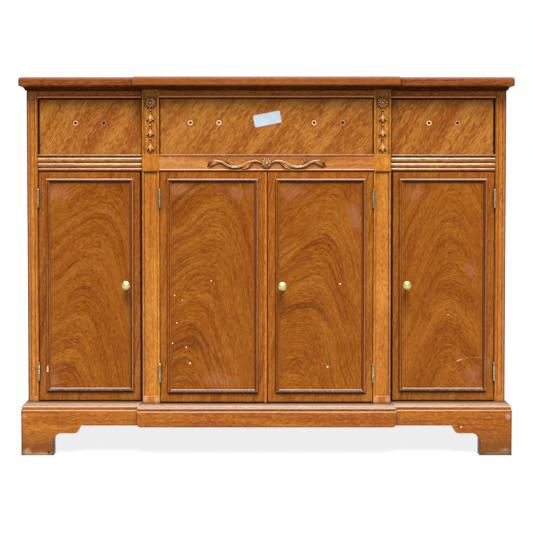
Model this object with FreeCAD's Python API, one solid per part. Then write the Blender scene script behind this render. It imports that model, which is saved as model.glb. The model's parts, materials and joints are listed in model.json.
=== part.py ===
import FreeCAD, Part
import math
import os

# A mahogany breakfront cabinet: three drawers over four doors on a bracket-foot plinth.
# Millimetres. X runs to the right, Y to the back and Z up from the floor. The origin is
# on the floor, in the middle of the width and of the whole depth, knobs included.

Vector = FreeCAD.Vector

# Widths of the front, from the middle to each end
centre_opening = 528.0
pilaster_width = 43.2
wing_opening = 259.4
stile_width = 28.6
top_side_overhang = 11.5
top_step_overhang = 19.5
top_front_overhang = 26.0

# Heights, from the floor up
plinth_height = 113.0
cap_height = 17.0
door_opening_height = 574.0
mid_rail_height = 41.0
drawer_opening_height = 140.0
top_rail_height = 19.0
under_moulding_height = 8.0
top_thickness = 22.0

# Depths
wing_depth = 380.0
break_step = 16.0
frame_depth = 29.0

# Board thicknesses
side_thickness = 18.0
partition_thickness = 18.0
dust_board_thickness = 12.0
back_thickness = 6.0
shelf_thickness = 15.0
plinth_thickness = 19.0

# Edges of the top
top_round = 7.0
top_under_round = 3.0
under_moulding_foot = 2.5
under_moulding_reach = 9.5
under_moulding_depth = 30.0
cove_hollow = 1.9

# Corner stiles and pilasters
stile_round = 6.0
flute_width = 12.0
flute_depth = 2.6
flute_top_margin = 18.0
flute_foot_margin = 13.0
sunk_depth = 3.0
sunk_slope = 1.6
sunk_border = 5.2
upper_sunk_top_margin = 4.0
pilaster_block_height = 42.0
lower_sunk_foot_margin = 16.0

# Rails
rail_bead_height = 3.4
rail_bead_relief = 1.6
reed_height_shares = (0.205, 0.302, 0.344)
reed_crown_share = 0.3
reed_depth = 3.6
lower_bead_height = 5.6
lower_bead_relief = 1.9
top_rail_bead_height = 5.2
top_rail_bead_relief = 1.9

# Base cap and plinth
floor_lip = 5.0
cap_reach = 10.8
cap_edge = 7.0
cap_lip = 2.0
cap_crown = 2.1
plinth_reach = 12.0
plinth_arris = 1.5
plinth_clearance = 74.5
foot_width = 80.0
foot_straight = 35.0
foot_cove = 20.0
foot_step = 32.0
ogee_width = 21.0
ogee_rise_share = 0.26
centre_plinth_round = 10.0
block_side = 26.0
block_clearance = 6.0
block_length = 80.0

# Doors
door_thickness = 18.0
hinge_gap = 2.0
jamb_gap = 5.0
door_top_gap = 2.5
door_foot_gap = 2.5
meeting_gap = 1.8
meeting_offset = 2.7
bead_width = 8.0
bead_relief = 3.6
frame_side_margin = 16.5
frame_top_margin = 15.0
frame_foot_margin = 21.0
frame_bead_margin = 21.0
frame_meeting_margin = 17.8
frame_width = 11.0
frame_relief = 4.2
frame_shares = ((0.2, 0.5), (0.38, 1.0), (0.62, 1.0), (0.8, 0.35), (1.0, 0.35))

# Butt hinges
hinge_length = 45.0
hinge_foot_margin = 50.5
hinge_head_margin = 42.5
leaf_depth = 14.0
leaf_thickness = 0.9
knuckle_radius = 2.8
knuckle_gap = 0.3
knuckle_clearance = 0.35
pin_radius = 1.25
pin_clearance = 0.05

# Knobs
knob_projection = 28.0
knob_head_radius = 10.25
knob_profile_shares = (
    (0.58, 0.0), (0.58, 0.06), (0.33, 0.13), (0.4, 0.66), (1.0, 0.74), (0.96, 0.86), (0.55, 1.0))
knob_facet_count = 24
knob_shank_side = 4.0
knob_shank_length = 12.0
knob_shank_clearance = 0.05
knob_height = 422.5
knob_from_frame = 6.4

# Catches
magnet_width = 30.0
magnet_height = 13.0
magnet_depth = 16.0
magnet_gap = 0.3
strike_height = 11.0
strike_thickness = 1.2
catch_from_edge = 40.0

# Drawers
drawer_side_gap = 3.2
drawer_top_gap = 3.0
drawer_foot_gap = 0.8
drawer_recess = 1.0
drawer_front_thickness = 20.0
drawer_side_thickness = 10.0
drawer_side_height = 120.0
drawer_side_clearance = 0.3
drawer_back_thickness = 10.0
drawer_back_drop = 8.0
drawer_back_gap = 14.0
drawer_bottom_thickness = 5.0
drawer_bottom_height = 10.0
groove_depth = 4.0
panel_clearance = 0.3
tail_count = 4
tail_length = 12.0
tail_tip_share = 0.62
tail_root_share = 0.44
tail_clearance = 0.1
pull_hole_radius = 2.6
pull_hole_spacing = 70.0
pull_hole_height = 78.0
wing_pull_place = 438.0
centre_pull_place = 152.0

# Guides, stops and kickers round the drawers
guide_height = 14.0
guide_clearance = 0.3
stop_clearance = 0.3
kicker_height = 20.0
kicker_gap = 0.6

# Shelves
shelf_height = 400.0
shelf_end_gap = 1.0
shelf_setback = 4.0
cleat_width = 12.0
cleat_height = 16.0

# Carved flower drops on the pilasters
rosette_radius = 14.2
rosette_margin = 32.0
petal_count = 12
petal_relief = 3.4
petal_notch_share = 0.8
bead_facet_count = 8
button_radius = 3.8
button_relief = 2.4
drop_relief = 4.4
drop_bead_radius = 2.8
drop_bead_relief = 2.8
drop_bead_places = (18.0, 55.4, 88.7)
bell_places = (23.9, 61.3, 94.8)
bell_heights = (24.0, 22.7, 26.6)
bell_half_width = 10.0
bell_shares = ((0.24, 0.0), (0.5, 0.44), (1.0, 0.74), (0.24, 0.84))
crown_share = 0.5

# Carved vine on the middle rail
vine_height = 19.6
vine_start = 4.0
vine_wave_length = 96.0
vine_wave_height = 8.0
vine_drop = 2.2
vine_stem_width = 6.6
vine_relief = 4.0
vine_rosette_radius = 13.6
leaf_width = 8.5
leaf_shares = ((-0.5, 0.0), (-0.17, -1.0), (0.17, -0.75), (0.5, 0.0), (0.17, 0.75), (-0.17, 1.0))
leaves = (((36.0, 1.5), (57.0, -11.0)), ((83.0, -8.0), (94.5, 7.5)), ((126.0, 5.5), (146.0, -8.5)))

overrun = 60.0

# Levels and planes that follow from the sizes above
opening_floor = plinth_height + cap_height
rail_bottom = opening_floor + door_opening_height
drawer_floor = rail_bottom + mid_rail_height
drawer_ceiling = drawer_floor + drawer_opening_height
case_top = drawer_ceiling + top_rail_height
top_bottom = case_top + under_moulding_height
top_level = top_bottom + top_thickness

half_centre = centre_opening / 2
half_break = half_centre + pilaster_width
wing_edge = half_break + wing_opening
half_case = wing_edge + stile_width
side_inner = half_case - side_thickness
pilaster_middle = half_centre + pilaster_width / 2
partition_outer = pilaster_middle + partition_thickness / 2
partition_inner = pilaster_middle - partition_thickness / 2

case_back = (wing_depth + break_step + knob_projection) / 2
wing_front = case_back - wing_depth
centre_front = wing_front - break_step
frame_back = wing_front + frame_depth
inside_back = case_back - back_thickness
base_wing_front = wing_front - floor_lip
base_centre_front = centre_front - floor_lip
plinth_back_of_front = base_wing_front - plinth_reach + plinth_thickness

door_bottom = opening_floor + door_foot_gap
door_top = rail_bottom - door_top_gap
hinge_levels = (door_bottom + hinge_foot_margin, door_top - hinge_head_margin - hinge_length)

drawer_bottom = drawer_floor + drawer_foot_gap
drawer_top = drawer_ceiling - drawer_top_gap
box_bottom = drawer_floor + drawer_side_clearance
box_top = box_bottom + drawer_side_height
box_back = inside_back - drawer_back_gap
groove_low = drawer_bottom + drawer_bottom_height
groove_high = groove_low + drawer_bottom_thickness + panel_clearance

# The bays: left wall, right wall, left and right edge of the opening, and the front plane
bays = {
    "left": (-side_inner, -partition_outer, -wing_edge, -half_break, wing_front),
    "centre": (-partition_inner, partition_inner, -half_centre, half_centre, centre_front),
    "right": (partition_outer, side_inner, half_break, wing_edge, wing_front)}

# The doors: hinge edge, free edge, front plane, margin of the applied frame at the free edge
doors = {
    "left": (hinge_gap - wing_edge, -half_break - jamb_gap, wing_front, frame_side_margin),
    "centre_left": (hinge_gap - half_centre, meeting_offset - meeting_gap / 2, centre_front,
                    frame_bead_margin),
    "centre_right": (half_centre - hinge_gap, meeting_offset + meeting_gap / 2, centre_front,
                     frame_meeting_margin),
    "right": (wing_edge - hinge_gap, half_break + jamb_gap, wing_front, frame_side_margin)}


def board(left, right, front, back, bottom, top):
    """A straight board between six planes; left and right may come in either order."""
    corner = Vector(min(left, right), front, bottom)
    return Part.makeBox(abs(right - left), back - front, top - bottom, corner)


def outline(start, steps, place):
    """A closed wire of points in a plane. A step holds its end and, for an arc, the rise of the arc
    over its chord, which is positive on the left of the way it goes."""
    edges = []
    here = start
    for end, *rise in steps:
        ends = [place(*here), place(*end)]
        if rise:
            across = (here[1] - end[1], end[0] - here[0])
            share = rise[0] / math.hypot(*across)
            middle = ((here[0] + end[0]) / 2 + across[0] * share, (here[1] + end[1]) / 2 + across[1] * share)
            edges.append(Part.Arc(ends[0], place(*middle), ends[1]).toShape())
        else:
            edges.append(Part.LineSegment(*ends).toShape())
        here = end
    return Part.Wire(edges)


def upright(y):
    """Places the points of an outline in the upright plane at y."""
    return lambda x, z: Vector(x, y, z)


def rod(radius, x, y, bottom, top):
    return Part.makeCylinder(radius, top - bottom, Vector(x, y, bottom))


def placed(corners, y):
    return [Vector(x, y, z) for x, z in corners]


def ring(x, z, reaches):
    """The corners of a round outline, for a scale. They lie at each of the reaches in turn."""
    def corners(scale):
        turn = 2 * math.pi / len(reaches)
        return [(x + scale * reach * math.cos(index * turn), z + scale * reach * math.sin(index * turn))
                for index, reach in enumerate(reaches)]
    return corners


def faceted(rings):
    """A solid of flat faces from each ring of corners to the next, closed over the first and the last."""
    outlines = [rings[0], rings[-1]]
    for near, far in zip(rings[:-1], rings[1:]):
        for index in range(len(near)):
            outlines.append([near[index - 1], near[index], far[index], far[index - 1]])
    faces = [Part.Face(Part.makePolygon(corners + corners[:1])) for corners in outlines]
    solid = Part.Solid(Part.makeShell(faces))
    return solid if solid.Volume > 0 else Part.Solid(solid.reversed())


def mirrored(solids):
    return [solid.mirror(Vector(0, 0, 0), Vector(1, 0, 0)) for solid in solids]


def save(name, solids):
    Part.makeCompound(solids).exportStep("parts/" + name + ".step")


def save_pair(name, solids):
    save(name + "_left", solids)
    save(name + "_right", mirrored(solids))


# Mouldings. A section lies in the XZ plane: X is the distance in front of the face, Z the height.
def section(start, steps):
    return Part.Face(outline(start, steps, upright(0)))


def heading(leg):
    begin, end = leg
    return Vector(end[0] - begin[0], end[1] - begin[1], 0).normalize()


def laid_run(face, leg, extra):
    """The section swept along one leg and past both its ends, facing to the right of the way it goes."""
    begin, end = leg
    length = math.dist(begin, end)
    run = face.extrude(Vector(0, length + 2 * extra, 0))
    run.translate(Vector(0, -extra, 0))
    way = heading(leg)
    run.rotate(Vector(0, 0, 0), Vector(0, 0, 1), math.degrees(math.atan2(-way.x, way.y)))
    run.translate(Vector(begin[0], begin[1], 0))
    return run


def waste(place, facing):
    """A block that lies beyond a mitre: its flat side is on the place, square to facing."""
    block = Part.makeBox(overrun, 2 * overrun, 2 * overrun, Vector(0, -overrun, -overrun))
    block.rotate(Vector(0, 0, 0), Vector(0, 0, 1), math.degrees(math.atan2(facing.y, facing.x)))
    block.translate(Vector(place[0], place[1], 0))
    return block


def mitred_runs(face, corners, level, closed=False):
    """One length of moulding for each leg between the corners, with a mitre where two legs meet."""
    if closed:
        corners = corners + corners[:1]
    legs = list(zip(corners[:-1], corners[1:]))
    runs = []
    for index, leg in enumerate(legs):
        here = heading(leg)
        before = heading(legs[index - 1]) if closed or index > 0 else here
        after = heading(legs[(index + 1) % len(legs)]) if closed or index < len(legs) - 1 else here
        run = laid_run(face, leg, overrun / 2)
        run = run.cut(waste(leg[0], (here + before).negative()))
        run = run.cut(waste(leg[1], here + after))
        run.translate(Vector(0, 0, level))
        runs.append(run)
    return runs


def straight_rail(face, left, right, front, bottom):
    """A rail of constant section that faces the front."""
    rail = laid_run(face, ((left, front), (right, front)), 0)
    rail.translate(Vector(0, 0, bottom))
    return rail


# The top and the case
def breakfront_corners(wing_line, centre_line, side_grow=0, step_grow=0):
    """The corners of a stepped front and its two ends, from the back on the left to the back on the right."""
    half_ends = half_case + side_grow
    half_step = half_break + step_grow
    return [(-half_ends, case_back), (-half_ends, wing_line), (-half_step, wing_line),
            (-half_step, centre_line), (half_step, centre_line), (half_step, wing_line),
            (half_ends, wing_line), (half_ends, case_back)]


def breakfront_board(corners, bottom, thickness):
    points = [Vector(x, y, bottom) for x, y in corners]
    return Part.Face(Part.makePolygon(points + points[:1])).extrude(Vector(0, 0, thickness))


def exposed_edges(solid, low, high):
    """The level edges between two heights, without the one along the back."""
    found = []
    for edge in solid.Edges:
        box = edge.BoundBox
        if box.ZMin > low and box.ZMax < high and box.YMin < case_back - top_round:
            found.append(edge)
    return found


def make_top_board():
    corners = breakfront_corners(wing_front - top_front_overhang, centre_front - top_front_overhang,
                                 top_side_overhang, top_step_overhang)
    slab = breakfront_board(corners, top_bottom, top_thickness)
    slab = slab.makeFillet(top_round, exposed_edges(slab, top_level - top_round, top_level + top_round))
    return slab.makeFillet(top_under_round,
                           exposed_edges(slab, top_bottom - top_under_round, top_bottom + top_under_round))


def make_top_moulding():
    """A cove under the top, mitred round the case, with a flat tongue behind it that carries the top."""
    face = section((-under_moulding_depth, 0), [
        [(under_moulding_foot, 0)],
        [(under_moulding_reach, under_moulding_height), cove_hollow],
        [(-under_moulding_depth, under_moulding_height)],
        [(-under_moulding_depth, 0)]])
    batten_end = half_case - under_moulding_depth
    batten = board(-batten_end, batten_end, case_back - under_moulding_depth, case_back, case_top, top_bottom)
    corners = breakfront_corners(wing_front, centre_front)
    return mitred_runs(face, corners, case_top) + [batten]


def make_base_moulding():
    """The cap of the plinth: a thumb moulding over an upright edge with a small quirk below."""
    edge = cap_reach - cap_lip
    face = section((0, 0), [
        [(edge, 0)],
        [(edge, cap_lip)],
        [(cap_reach, cap_lip)],
        [(cap_reach, cap_edge)],
        [(0, cap_height), -cap_crown],
        [(0, 0)]])
    return mitred_runs(face, breakfront_corners(base_wing_front, base_centre_front), plinth_height)


def leaf_beds(edge_x, into, front):
    """The shallow beds that two leaves lie in; into is the side of the edge that the wood is on."""
    inner = edge_x + into * leaf_thickness
    return [board(edge_x, inner, front - overrun, front + leaf_depth, level, level + hinge_length)
            for level in hinge_levels]


def make_stile():
    """The left end stile: a rounded outer corner, a stopped flute and beds for the hinges."""
    post = board(-half_case, -wing_edge, wing_front, frame_back, opening_floor, case_top)
    boxes = [(edge, edge.BoundBox) for edge in post.Edges]
    corner = [edge for edge, box in boxes
              if box.XMax < stile_round - half_case and box.YMax < wing_front + stile_round]
    post = post.makeFillet(stile_round, corner)
    radius = (flute_width ** 2 / 4 + flute_depth ** 2) / (2 * flute_depth)
    middle = stile_width / 2 - half_case
    axis_y = wing_front + flute_depth - radius
    low = opening_floor + flute_foot_margin + flute_width / 2
    high = case_top - flute_top_margin - flute_width / 2
    flute = rod(radius, middle, axis_y, low, high)
    for level in (low, high):
        flute = flute.fuse(Part.makeSphere(radius, Vector(middle, axis_y, level)))
    return post.cut([flute] + leaf_beds(-wing_edge, -1, wing_front))


def sunk_panel(left, right, front, bottom, top):
    """A cutter for a sunk panel with sloping edges, as wide at the face as the limits given."""
    wires = []
    for depth in (-sunk_depth, sunk_depth):
        inset = sunk_slope * depth / sunk_depth
        y = front + depth
        corners = [Vector(left + inset, y, bottom + inset), Vector(right - inset, y, bottom + inset),
                   Vector(right - inset, y, top - inset), Vector(left + inset, y, top - inset)]
        wires.append(Part.makePolygon(corners + corners[:1]))
    return Part.makeLoft(wires, True, True)


def make_pilaster():
    """The left pilaster: a post that steps forward of the wing, with two sunk panels in its face."""
    post = board(-half_break, -half_centre, centre_front, frame_back, opening_floor, case_top)
    left = sunk_border - half_break
    right = -half_centre - sunk_border
    upper = sunk_panel(left, right, centre_front, drawer_floor, case_top - upper_sunk_top_margin)
    lower_top = drawer_floor - pilaster_block_height
    lower = sunk_panel(left, right, centre_front, opening_floor + lower_sunk_foot_margin, lower_top)
    return post.cut([upper, lower] + leaf_beds(-half_centre, -1, centre_front))


def make_reeded_rail():
    """The left rail over the wing door: three reeds that grow upwards, a groove and a small bead."""
    steps = [[(-reed_depth, 0)]]
    level = 0
    for share in reed_height_shares:
        height = mid_rail_height * share
        level += height
        steps.append([(-reed_depth, level), -height * reed_crown_share])
    bead = mid_rail_height - rail_bead_height
    face = section((-frame_depth, 0), steps + [
        [(-reed_depth, bead)],
        [(0, bead)],
        [(0, mid_rail_height), -rail_bead_relief],
        [(-frame_depth, mid_rail_height)],
        [(-frame_depth, 0)]])
    return straight_rail(face, -wing_edge, -half_break, wing_front, rail_bottom)


def make_centre_rail():
    """The wide rail over the centre doors: flat, with a bead along each edge."""
    depth = frame_depth + break_step
    face = section((-depth, 0), [
        [(0, 0)],
        [(0, lower_bead_height), -lower_bead_relief],
        [(0, mid_rail_height - rail_bead_height)],
        [(0, mid_rail_height), -rail_bead_relief],
        [(-depth, mid_rail_height)],
        [(-depth, 0)]])
    return straight_rail(face, -half_centre, half_centre, centre_front, rail_bottom)


def make_top_rails():
    rails = []
    for wall_left, wall_right, left, right, front in bays.values():
        depth = frame_back - front
        face = section((-depth, 0), [
            [(0, 0)],
            [(0, top_rail_bead_height), -top_rail_bead_relief],
            [(0, top_rail_height)],
            [(-depth, top_rail_height)],
            [(-depth, 0)]])
        rails.append(straight_rail(face, left, right, front, drawer_ceiling))
    return rails


# The plinth
def foot_steps():
    """The inner side of a bracket foot, from the floor up to the lower edge of its board: an upright,
    a cove, a level step and an ogee. Forward steps, then the same steps run backwards and mirrored."""
    ogee = (plinth_clearance - foot_straight - foot_cove) / 2
    slack = 1 - math.sqrt(1 / 2)
    step_start = foot_width + foot_cove
    step_end = step_start + foot_step
    step_level = foot_straight + foot_cove
    points = [(foot_width, 0), (foot_width, foot_straight), (step_start, step_level), (step_end, step_level),
              (step_end + ogee_width / 2, step_level + ogee), (step_end + ogee_width, plinth_clearance)]
    rises = [[], [foot_cove * slack], [], [-ogee * ogee_rise_share], [ogee * ogee_rise_share]]
    forward = [[points[0]]] + [[point, *rise] for point, rise in zip(points[1:], rises)]
    backward = [[points[-1]]] + [[point, *rise] for point, rise in zip(points[-2::-1], rises[::-1])]
    return forward, [[(-step[0][0], step[0][1]), *step[1:]] for step in backward]


def bracket_board(length, start_foot, end_foot):
    """A plinth board in the XZ plane, from X = 0, with a stepped bracket foot at either end or both."""
    forward, backward = foot_steps()
    start = (0, 0) if start_foot else (0, plinth_clearance)
    steps = forward if start_foot else []
    if end_foot:
        steps = steps + [[(length + step[0][0], step[0][1]), *step[1:]] for step in backward]
        steps.append([(length, 0)])
    else:
        steps = steps + [[(length, plinth_clearance)]]
    steps += [[(length, plinth_height)], [(0, plinth_height)], [start]]
    return section(start, steps).extrude(Vector(0, plinth_thickness, 0))


def softened(solid, chosen):
    """The solid with a small round on each of its edges that the test picks."""
    edges = [edge for edge in solid.Edges if chosen(edge.BoundBox)]
    return solid.makeFillet(plinth_arris, edges)


def make_plinth_wing():
    """The left front board, with the foot at its outer end."""
    outer = half_case + plinth_reach
    wing = bracket_board(outer - half_break - plinth_reach, True, False)
    wing.translate(Vector(-outer, base_wing_front - plinth_reach, 0))
    front = base_wing_front - plinth_reach + plinth_arris
    return softened(wing, lambda box: box.ZMin > plinth_height - plinth_arris and box.YMax < front)


def make_plinth_side():
    """The left side board, with a foot at the front and at the back, behind the end of the front board."""
    length = wing_depth + floor_lip + plinth_reach
    side = bracket_board(length, True, True)
    hidden = board(0, plinth_thickness, -overrun, overrun, -overrun, plinth_height + overrun)
    side = side.cut(hidden)
    side.rotate(Vector(0, 0, 0), Vector(0, 0, 1), 90)
    side.translate(Vector(plinth_thickness - half_case - plinth_reach, base_wing_front - plinth_reach, 0))
    outer = plinth_arris - half_case - plinth_reach
    return softened(side, lambda box: box.ZMin > plinth_height - plinth_arris and box.XMax < outer)


def make_plinth_centre():
    """The plain middle board, built out to the step, with rounded lower corners."""
    reach = half_break + plinth_reach
    front = base_centre_front - plinth_reach
    middle = board(-reach, reach, front, plinth_back_of_front, plinth_clearance, plinth_height)
    boxes = [(edge, edge.BoundBox) for edge in middle.Edges]
    corners = [edge for edge, box in boxes
               if box.ZMax < plinth_clearance + plinth_arris and box.XLength < plinth_arris]
    middle = middle.makeFillet(centre_plinth_round, corners)
    front += plinth_arris
    return softened(middle, lambda box: box.ZMin > plinth_height - plinth_arris and box.YMax < front)


def make_plinth_back():
    inner = half_case + plinth_reach - plinth_thickness
    back = bracket_board(2 * inner, True, True)
    back.translate(Vector(-inner, case_back - plinth_thickness, 0))
    return back


def make_glue_blocks():
    """Blocks in the four corners of the plinth, and low ones behind the two steps of the front."""
    inner = half_case + plinth_reach - plinth_thickness
    front = plinth_back_of_front
    back = case_back - plinth_thickness
    step = half_break + plinth_reach
    places = [
        (-inner, block_side - inner, block_clearance),
        (-step - block_length / 2, block_length / 2 - step, plinth_clearance + block_clearance)]
    blocks = []
    for left, right, low in places:
        blocks.append(board(left, right, front, front + block_side, low, plinth_height))
        blocks.append(board(left, right, back - block_side, back, low, plinth_height))
    return blocks + mirrored(blocks)


# Inside the case
def drawer_limits(bay):
    wall_left, wall_right, left, right, front = bays[bay]
    return left + drawer_side_gap, right - drawer_side_gap, front + drawer_recess


def make_drawer_guides():
    """Two guides beside each drawer and a stop behind each of its sides, all on the dust board."""
    top = drawer_floor + guide_height
    pieces = []
    for bay, (wall_left, wall_right, *rest) in bays.items():
        left, right, face = drawer_limits(bay)
        pieces.append(board(wall_left, left - guide_clearance, frame_back, inside_back, drawer_floor, top))
        pieces.append(board(right + guide_clearance, wall_right, frame_back, inside_back, drawer_floor, top))
        for near, far in ((left, left + drawer_side_thickness), (right - drawer_side_thickness, right)):
            pieces.append(board(near, far, box_back + stop_clearance, inside_back, drawer_floor, top))
    return pieces


def make_drawer_kickers():
    """A strip over each drawer side, which keeps a pulled drawer from tipping."""
    bottom = box_top + kicker_gap
    pieces = []
    for bay, (wall_left, wall_right, *rest) in bays.items():
        left, right, face = drawer_limits(bay)
        inner_left = left + drawer_side_thickness
        inner_right = right - drawer_side_thickness
        for near, far in ((wall_left, inner_left), (inner_right, wall_right)):
            pieces.append(board(near, far, frame_back, inside_back, bottom, bottom + kicker_height))
    return pieces


def make_dust_boards():
    bottom = drawer_floor - dust_board_thickness
    return [board(wall_left, wall_right, frame_back, inside_back, bottom, drawer_floor)
            for wall_left, wall_right, *rest in bays.values()]


def make_shelves():
    front = frame_back + shelf_setback
    top = shelf_height + shelf_thickness
    shelves = []
    for wall_left, wall_right, *rest in bays.values():
        left = wall_left + shelf_end_gap
        right = wall_right - shelf_end_gap
        shelves.append(board(left, right, front, inside_back, shelf_height, top))
    return shelves


def make_shelf_cleats():
    front = frame_back + shelf_setback
    low = shelf_height - cleat_height
    cleats = []
    for wall_left, wall_right, *rest in bays.values():
        cleats.append(board(wall_left, wall_left + cleat_width, front, inside_back, low, shelf_height))
        cleats.append(board(wall_right - cleat_width, wall_right, front, inside_back, low, shelf_height))
    return cleats


# Doors and what is on them
def hand(door):
    """1 for a door that is hinged on its left edge, -1 for one hinged on its right."""
    hinge_edge, free_edge, front, margin = doors[door]
    return 1 if free_edge > hinge_edge else -1


def frame_limits(door):
    """The outer edges of the applied frame: hinge side, free side, bottom, top."""
    hinge_edge, free_edge, front, margin = doors[door]
    side = hand(door)
    return (hinge_edge + side * frame_side_margin, free_edge - side * margin,
            door_bottom + frame_foot_margin, door_top - frame_top_margin)


def knob_place(door):
    side = hand(door)
    free_side = frame_limits(door)[1]
    return free_side - side * (frame_width + knob_from_frame)


def make_door(door, has_knob):
    hinge_edge, free_edge, front, margin = doors[door]
    panel = board(hinge_edge, free_edge, front, front + door_thickness, door_bottom, door_top)
    cuts = leaf_beds(hinge_edge, hand(door), front)
    if has_knob:
        x = knob_place(door)
        half_side = knob_shank_side / 2 + knob_shank_clearance
        mortise_end = front + knob_shank_length + knob_shank_clearance
        cuts.append(board(x - half_side, x + half_side, front - overrun, mortise_end,
                          knob_height - half_side, knob_height + half_side))
    return panel.cut(cuts)


def make_door_frame(door):
    """Four mitred lengths of moulding laid on the face of the door."""
    hinge_side, free_side, bottom, top = frame_limits(door)
    left = min(hinge_side, free_side)
    right = max(hinge_side, free_side)
    steps = [[(0, frame_relief * frame_shares[0][1])]]
    steps += [[(-frame_width * across, frame_relief * up)] for across, up in frame_shares]
    face = section((0, 0), steps + [[(-frame_width, 0)], [(0, 0)]])
    corners = ((left, bottom), (right, bottom), (right, top), (left, top))
    runs = mitred_runs(face, corners, 0, closed=True)
    for run in runs:
        run.rotate(Vector(0, 0, 0), Vector(1, 0, 0), 90)
        run.translate(Vector(0, doors[door][2], 0))
    return runs


def make_meeting_bead():
    """The half-round bead down the free edge of the left centre door."""
    hinge_edge, free_edge, front, margin = doors["centre_left"]
    left = free_edge - bead_width
    steps = [[(free_edge, front), -bead_relief], [(left, front)]]
    face = Part.Face(outline((left, front), steps, lambda x, y: Vector(x, y, door_bottom)))
    return face.extrude(Vector(0, 0, door_top - door_bottom))


def make_knob(door):
    """A round knob with flange, neck and mushroom head, on a square shank that is let into the door."""
    x = knob_place(door)
    front = doors[door][2]
    rings = []
    for radius_share, reach_share in knob_profile_shares:
        corners = ring(x, knob_height, [knob_head_radius * radius_share] * knob_facet_count)(1)
        rings.append(placed(corners, front - knob_projection * reach_share))
    half_side = knob_shank_side / 2
    shank = board(x - half_side, x + half_side, front, front + knob_shank_length,
                  knob_height - half_side, knob_height + half_side)
    return faceted(rings).fuse(shank).removeSplitter()


# Lift-off butt hinges. The lower knuckle belongs to the post, the upper one to the door.
def hinge_axis(door):
    hinge_edge, free_edge, front, margin = doors[door]
    return hinge_edge - hand(door) * hinge_gap / 2, front - knuckle_radius - knuckle_clearance


def make_leaf(door, near, far, level, low, high):
    """One leaf in its bed, with the web that joins it to its knuckle between two heights."""
    axis_x, axis_y = hinge_axis(door)
    front = doors[door][2]
    leaf = board(near, far, front, front + leaf_depth, level, level + hinge_length)
    web = board(near, far, axis_y, front, low, high)
    return leaf.fuse([web, rod(knuckle_radius, axis_x, axis_y, low, high)])


def make_case_leaf(door, level):
    """The leaf on the post: its knuckle carries the fixed pin that the door turns on."""
    side = hand(door)
    near = doors[door][0] - side * hinge_gap
    middle = level + hinge_length / 2
    leaf = make_leaf(door, near, near - side * leaf_thickness, level, level, middle - knuckle_gap / 2)
    pin = rod(pin_radius, *hinge_axis(door), level, level + hinge_length)
    return leaf.fuse(pin).removeSplitter()


def make_door_leaf(door, level):
    """The leaf on the door: its knuckle is bored for the pin."""
    near = doors[door][0]
    top = level + hinge_length
    low = level + hinge_length / 2 + knuckle_gap / 2
    leaf = make_leaf(door, near, near + hand(door) * leaf_thickness, level, low, top)
    bore = rod(pin_radius + pin_clearance, *hinge_axis(door), level, top)
    return leaf.cut(bore).removeSplitter()


def catch_limits(door):
    hinge_edge, free_edge, front, margin = doors[door]
    middle = free_edge - hand(door) * catch_from_edge
    return middle - magnet_width / 2, middle + magnet_width / 2, front + door_thickness


def make_door_fittings(door):
    """What is screwed to the door: two hinge leaves, and the strike of its catch behind the top edge."""
    left, right, back = catch_limits(door)
    strike = board(left, right, back, back + strike_thickness, door_top - strike_height, door_top)
    return [make_door_leaf(door, level) for level in hinge_levels] + [strike]


def make_catch_magnets():
    magnets = []
    for door in doors:
        left, right, back = catch_limits(door)
        front = back + strike_thickness + magnet_gap
        bottom = rail_bottom - magnet_height
        magnets.append(board(left, right, front, front + magnet_depth, bottom, rail_bottom))
    return magnets


# Drawers
def tail(root_y, middle, pitch, left, right, grow):
    """One dovetail of a drawer side, reaching forward from the root into the drawer front."""
    root = pitch * tail_root_share / 2 + grow
    tip = pitch * tail_tip_share / 2 + grow
    tip_y = root_y - tail_length - grow
    corners = [Vector(left, root_y, middle - root), Vector(left, tip_y, middle - tip),
               Vector(left, tip_y, middle + tip), Vector(left, root_y, middle + root)]
    return Part.Face(Part.makePolygon(corners + corners[:1])).extrude(Vector(right - left, 0, 0))


def tails(root_y, left, right, grow):
    pitch = drawer_side_height / tail_count
    return [tail(root_y, box_bottom + (index + 1 / 2) * pitch, pitch, left, right, grow)
            for index in range(tail_count)]


def make_drawer_front(bay, pull_places):
    """A drawer front with the bolt holes of its missing pulls, dovetail sockets and a groove."""
    left, right, face = drawer_limits(bay)
    inner_left = left + drawer_side_thickness
    inner_right = right - drawer_side_thickness
    root_y = face + drawer_front_thickness
    front = board(left, right, face, root_y, drawer_bottom, drawer_top)
    cuts = tails(root_y, left, inner_left, tail_clearance) + tails(root_y, inner_right, right, tail_clearance)
    cuts.append(board(inner_left, inner_right, root_y - groove_depth, root_y, groove_low, groove_high))
    for place in pull_places:
        for step in (-pull_hole_spacing / 2, pull_hole_spacing / 2):
            start = Vector(place + step, face - overrun, drawer_floor + pull_hole_height)
            cuts.append(Part.makeCylinder(pull_hole_radius, 2 * overrun, start, Vector(0, 1, 0)))
    return front.cut(cuts)


def make_drawer_box(bay):
    """The two sides, dovetailed into the front and grooved for the bottom, and the back between them."""
    left, right, face = drawer_limits(bay)
    inner_left = left + drawer_side_thickness
    inner_right = right - drawer_side_thickness
    root_y = face + drawer_front_thickness
    sides = []
    for outer, inner in ((left, inner_left), (right, inner_right)):
        side = board(outer, inner, root_y, box_back, box_bottom, box_top)
        side = side.fuse(tails(root_y, min(outer, inner), max(outer, inner), 0)).removeSplitter()
        bed = inner - groove_depth if inner > outer else inner + groove_depth
        sides.append(side.cut(board(inner, bed, root_y - groove_depth, box_back, groove_low, groove_high)))
    back = board(inner_left, inner_right, box_back - drawer_back_thickness, box_back,
                 groove_high, box_top - drawer_back_drop)
    return sides + [back]


def make_drawer_bottom(bay):
    left, right, face = drawer_limits(bay)
    inset = drawer_side_thickness - groove_depth + panel_clearance
    front = face + drawer_front_thickness - groove_depth + panel_clearance
    top = groove_low + drawer_bottom_thickness
    return board(left + inset, right - inset, front, box_back, groove_low, top)


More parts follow.
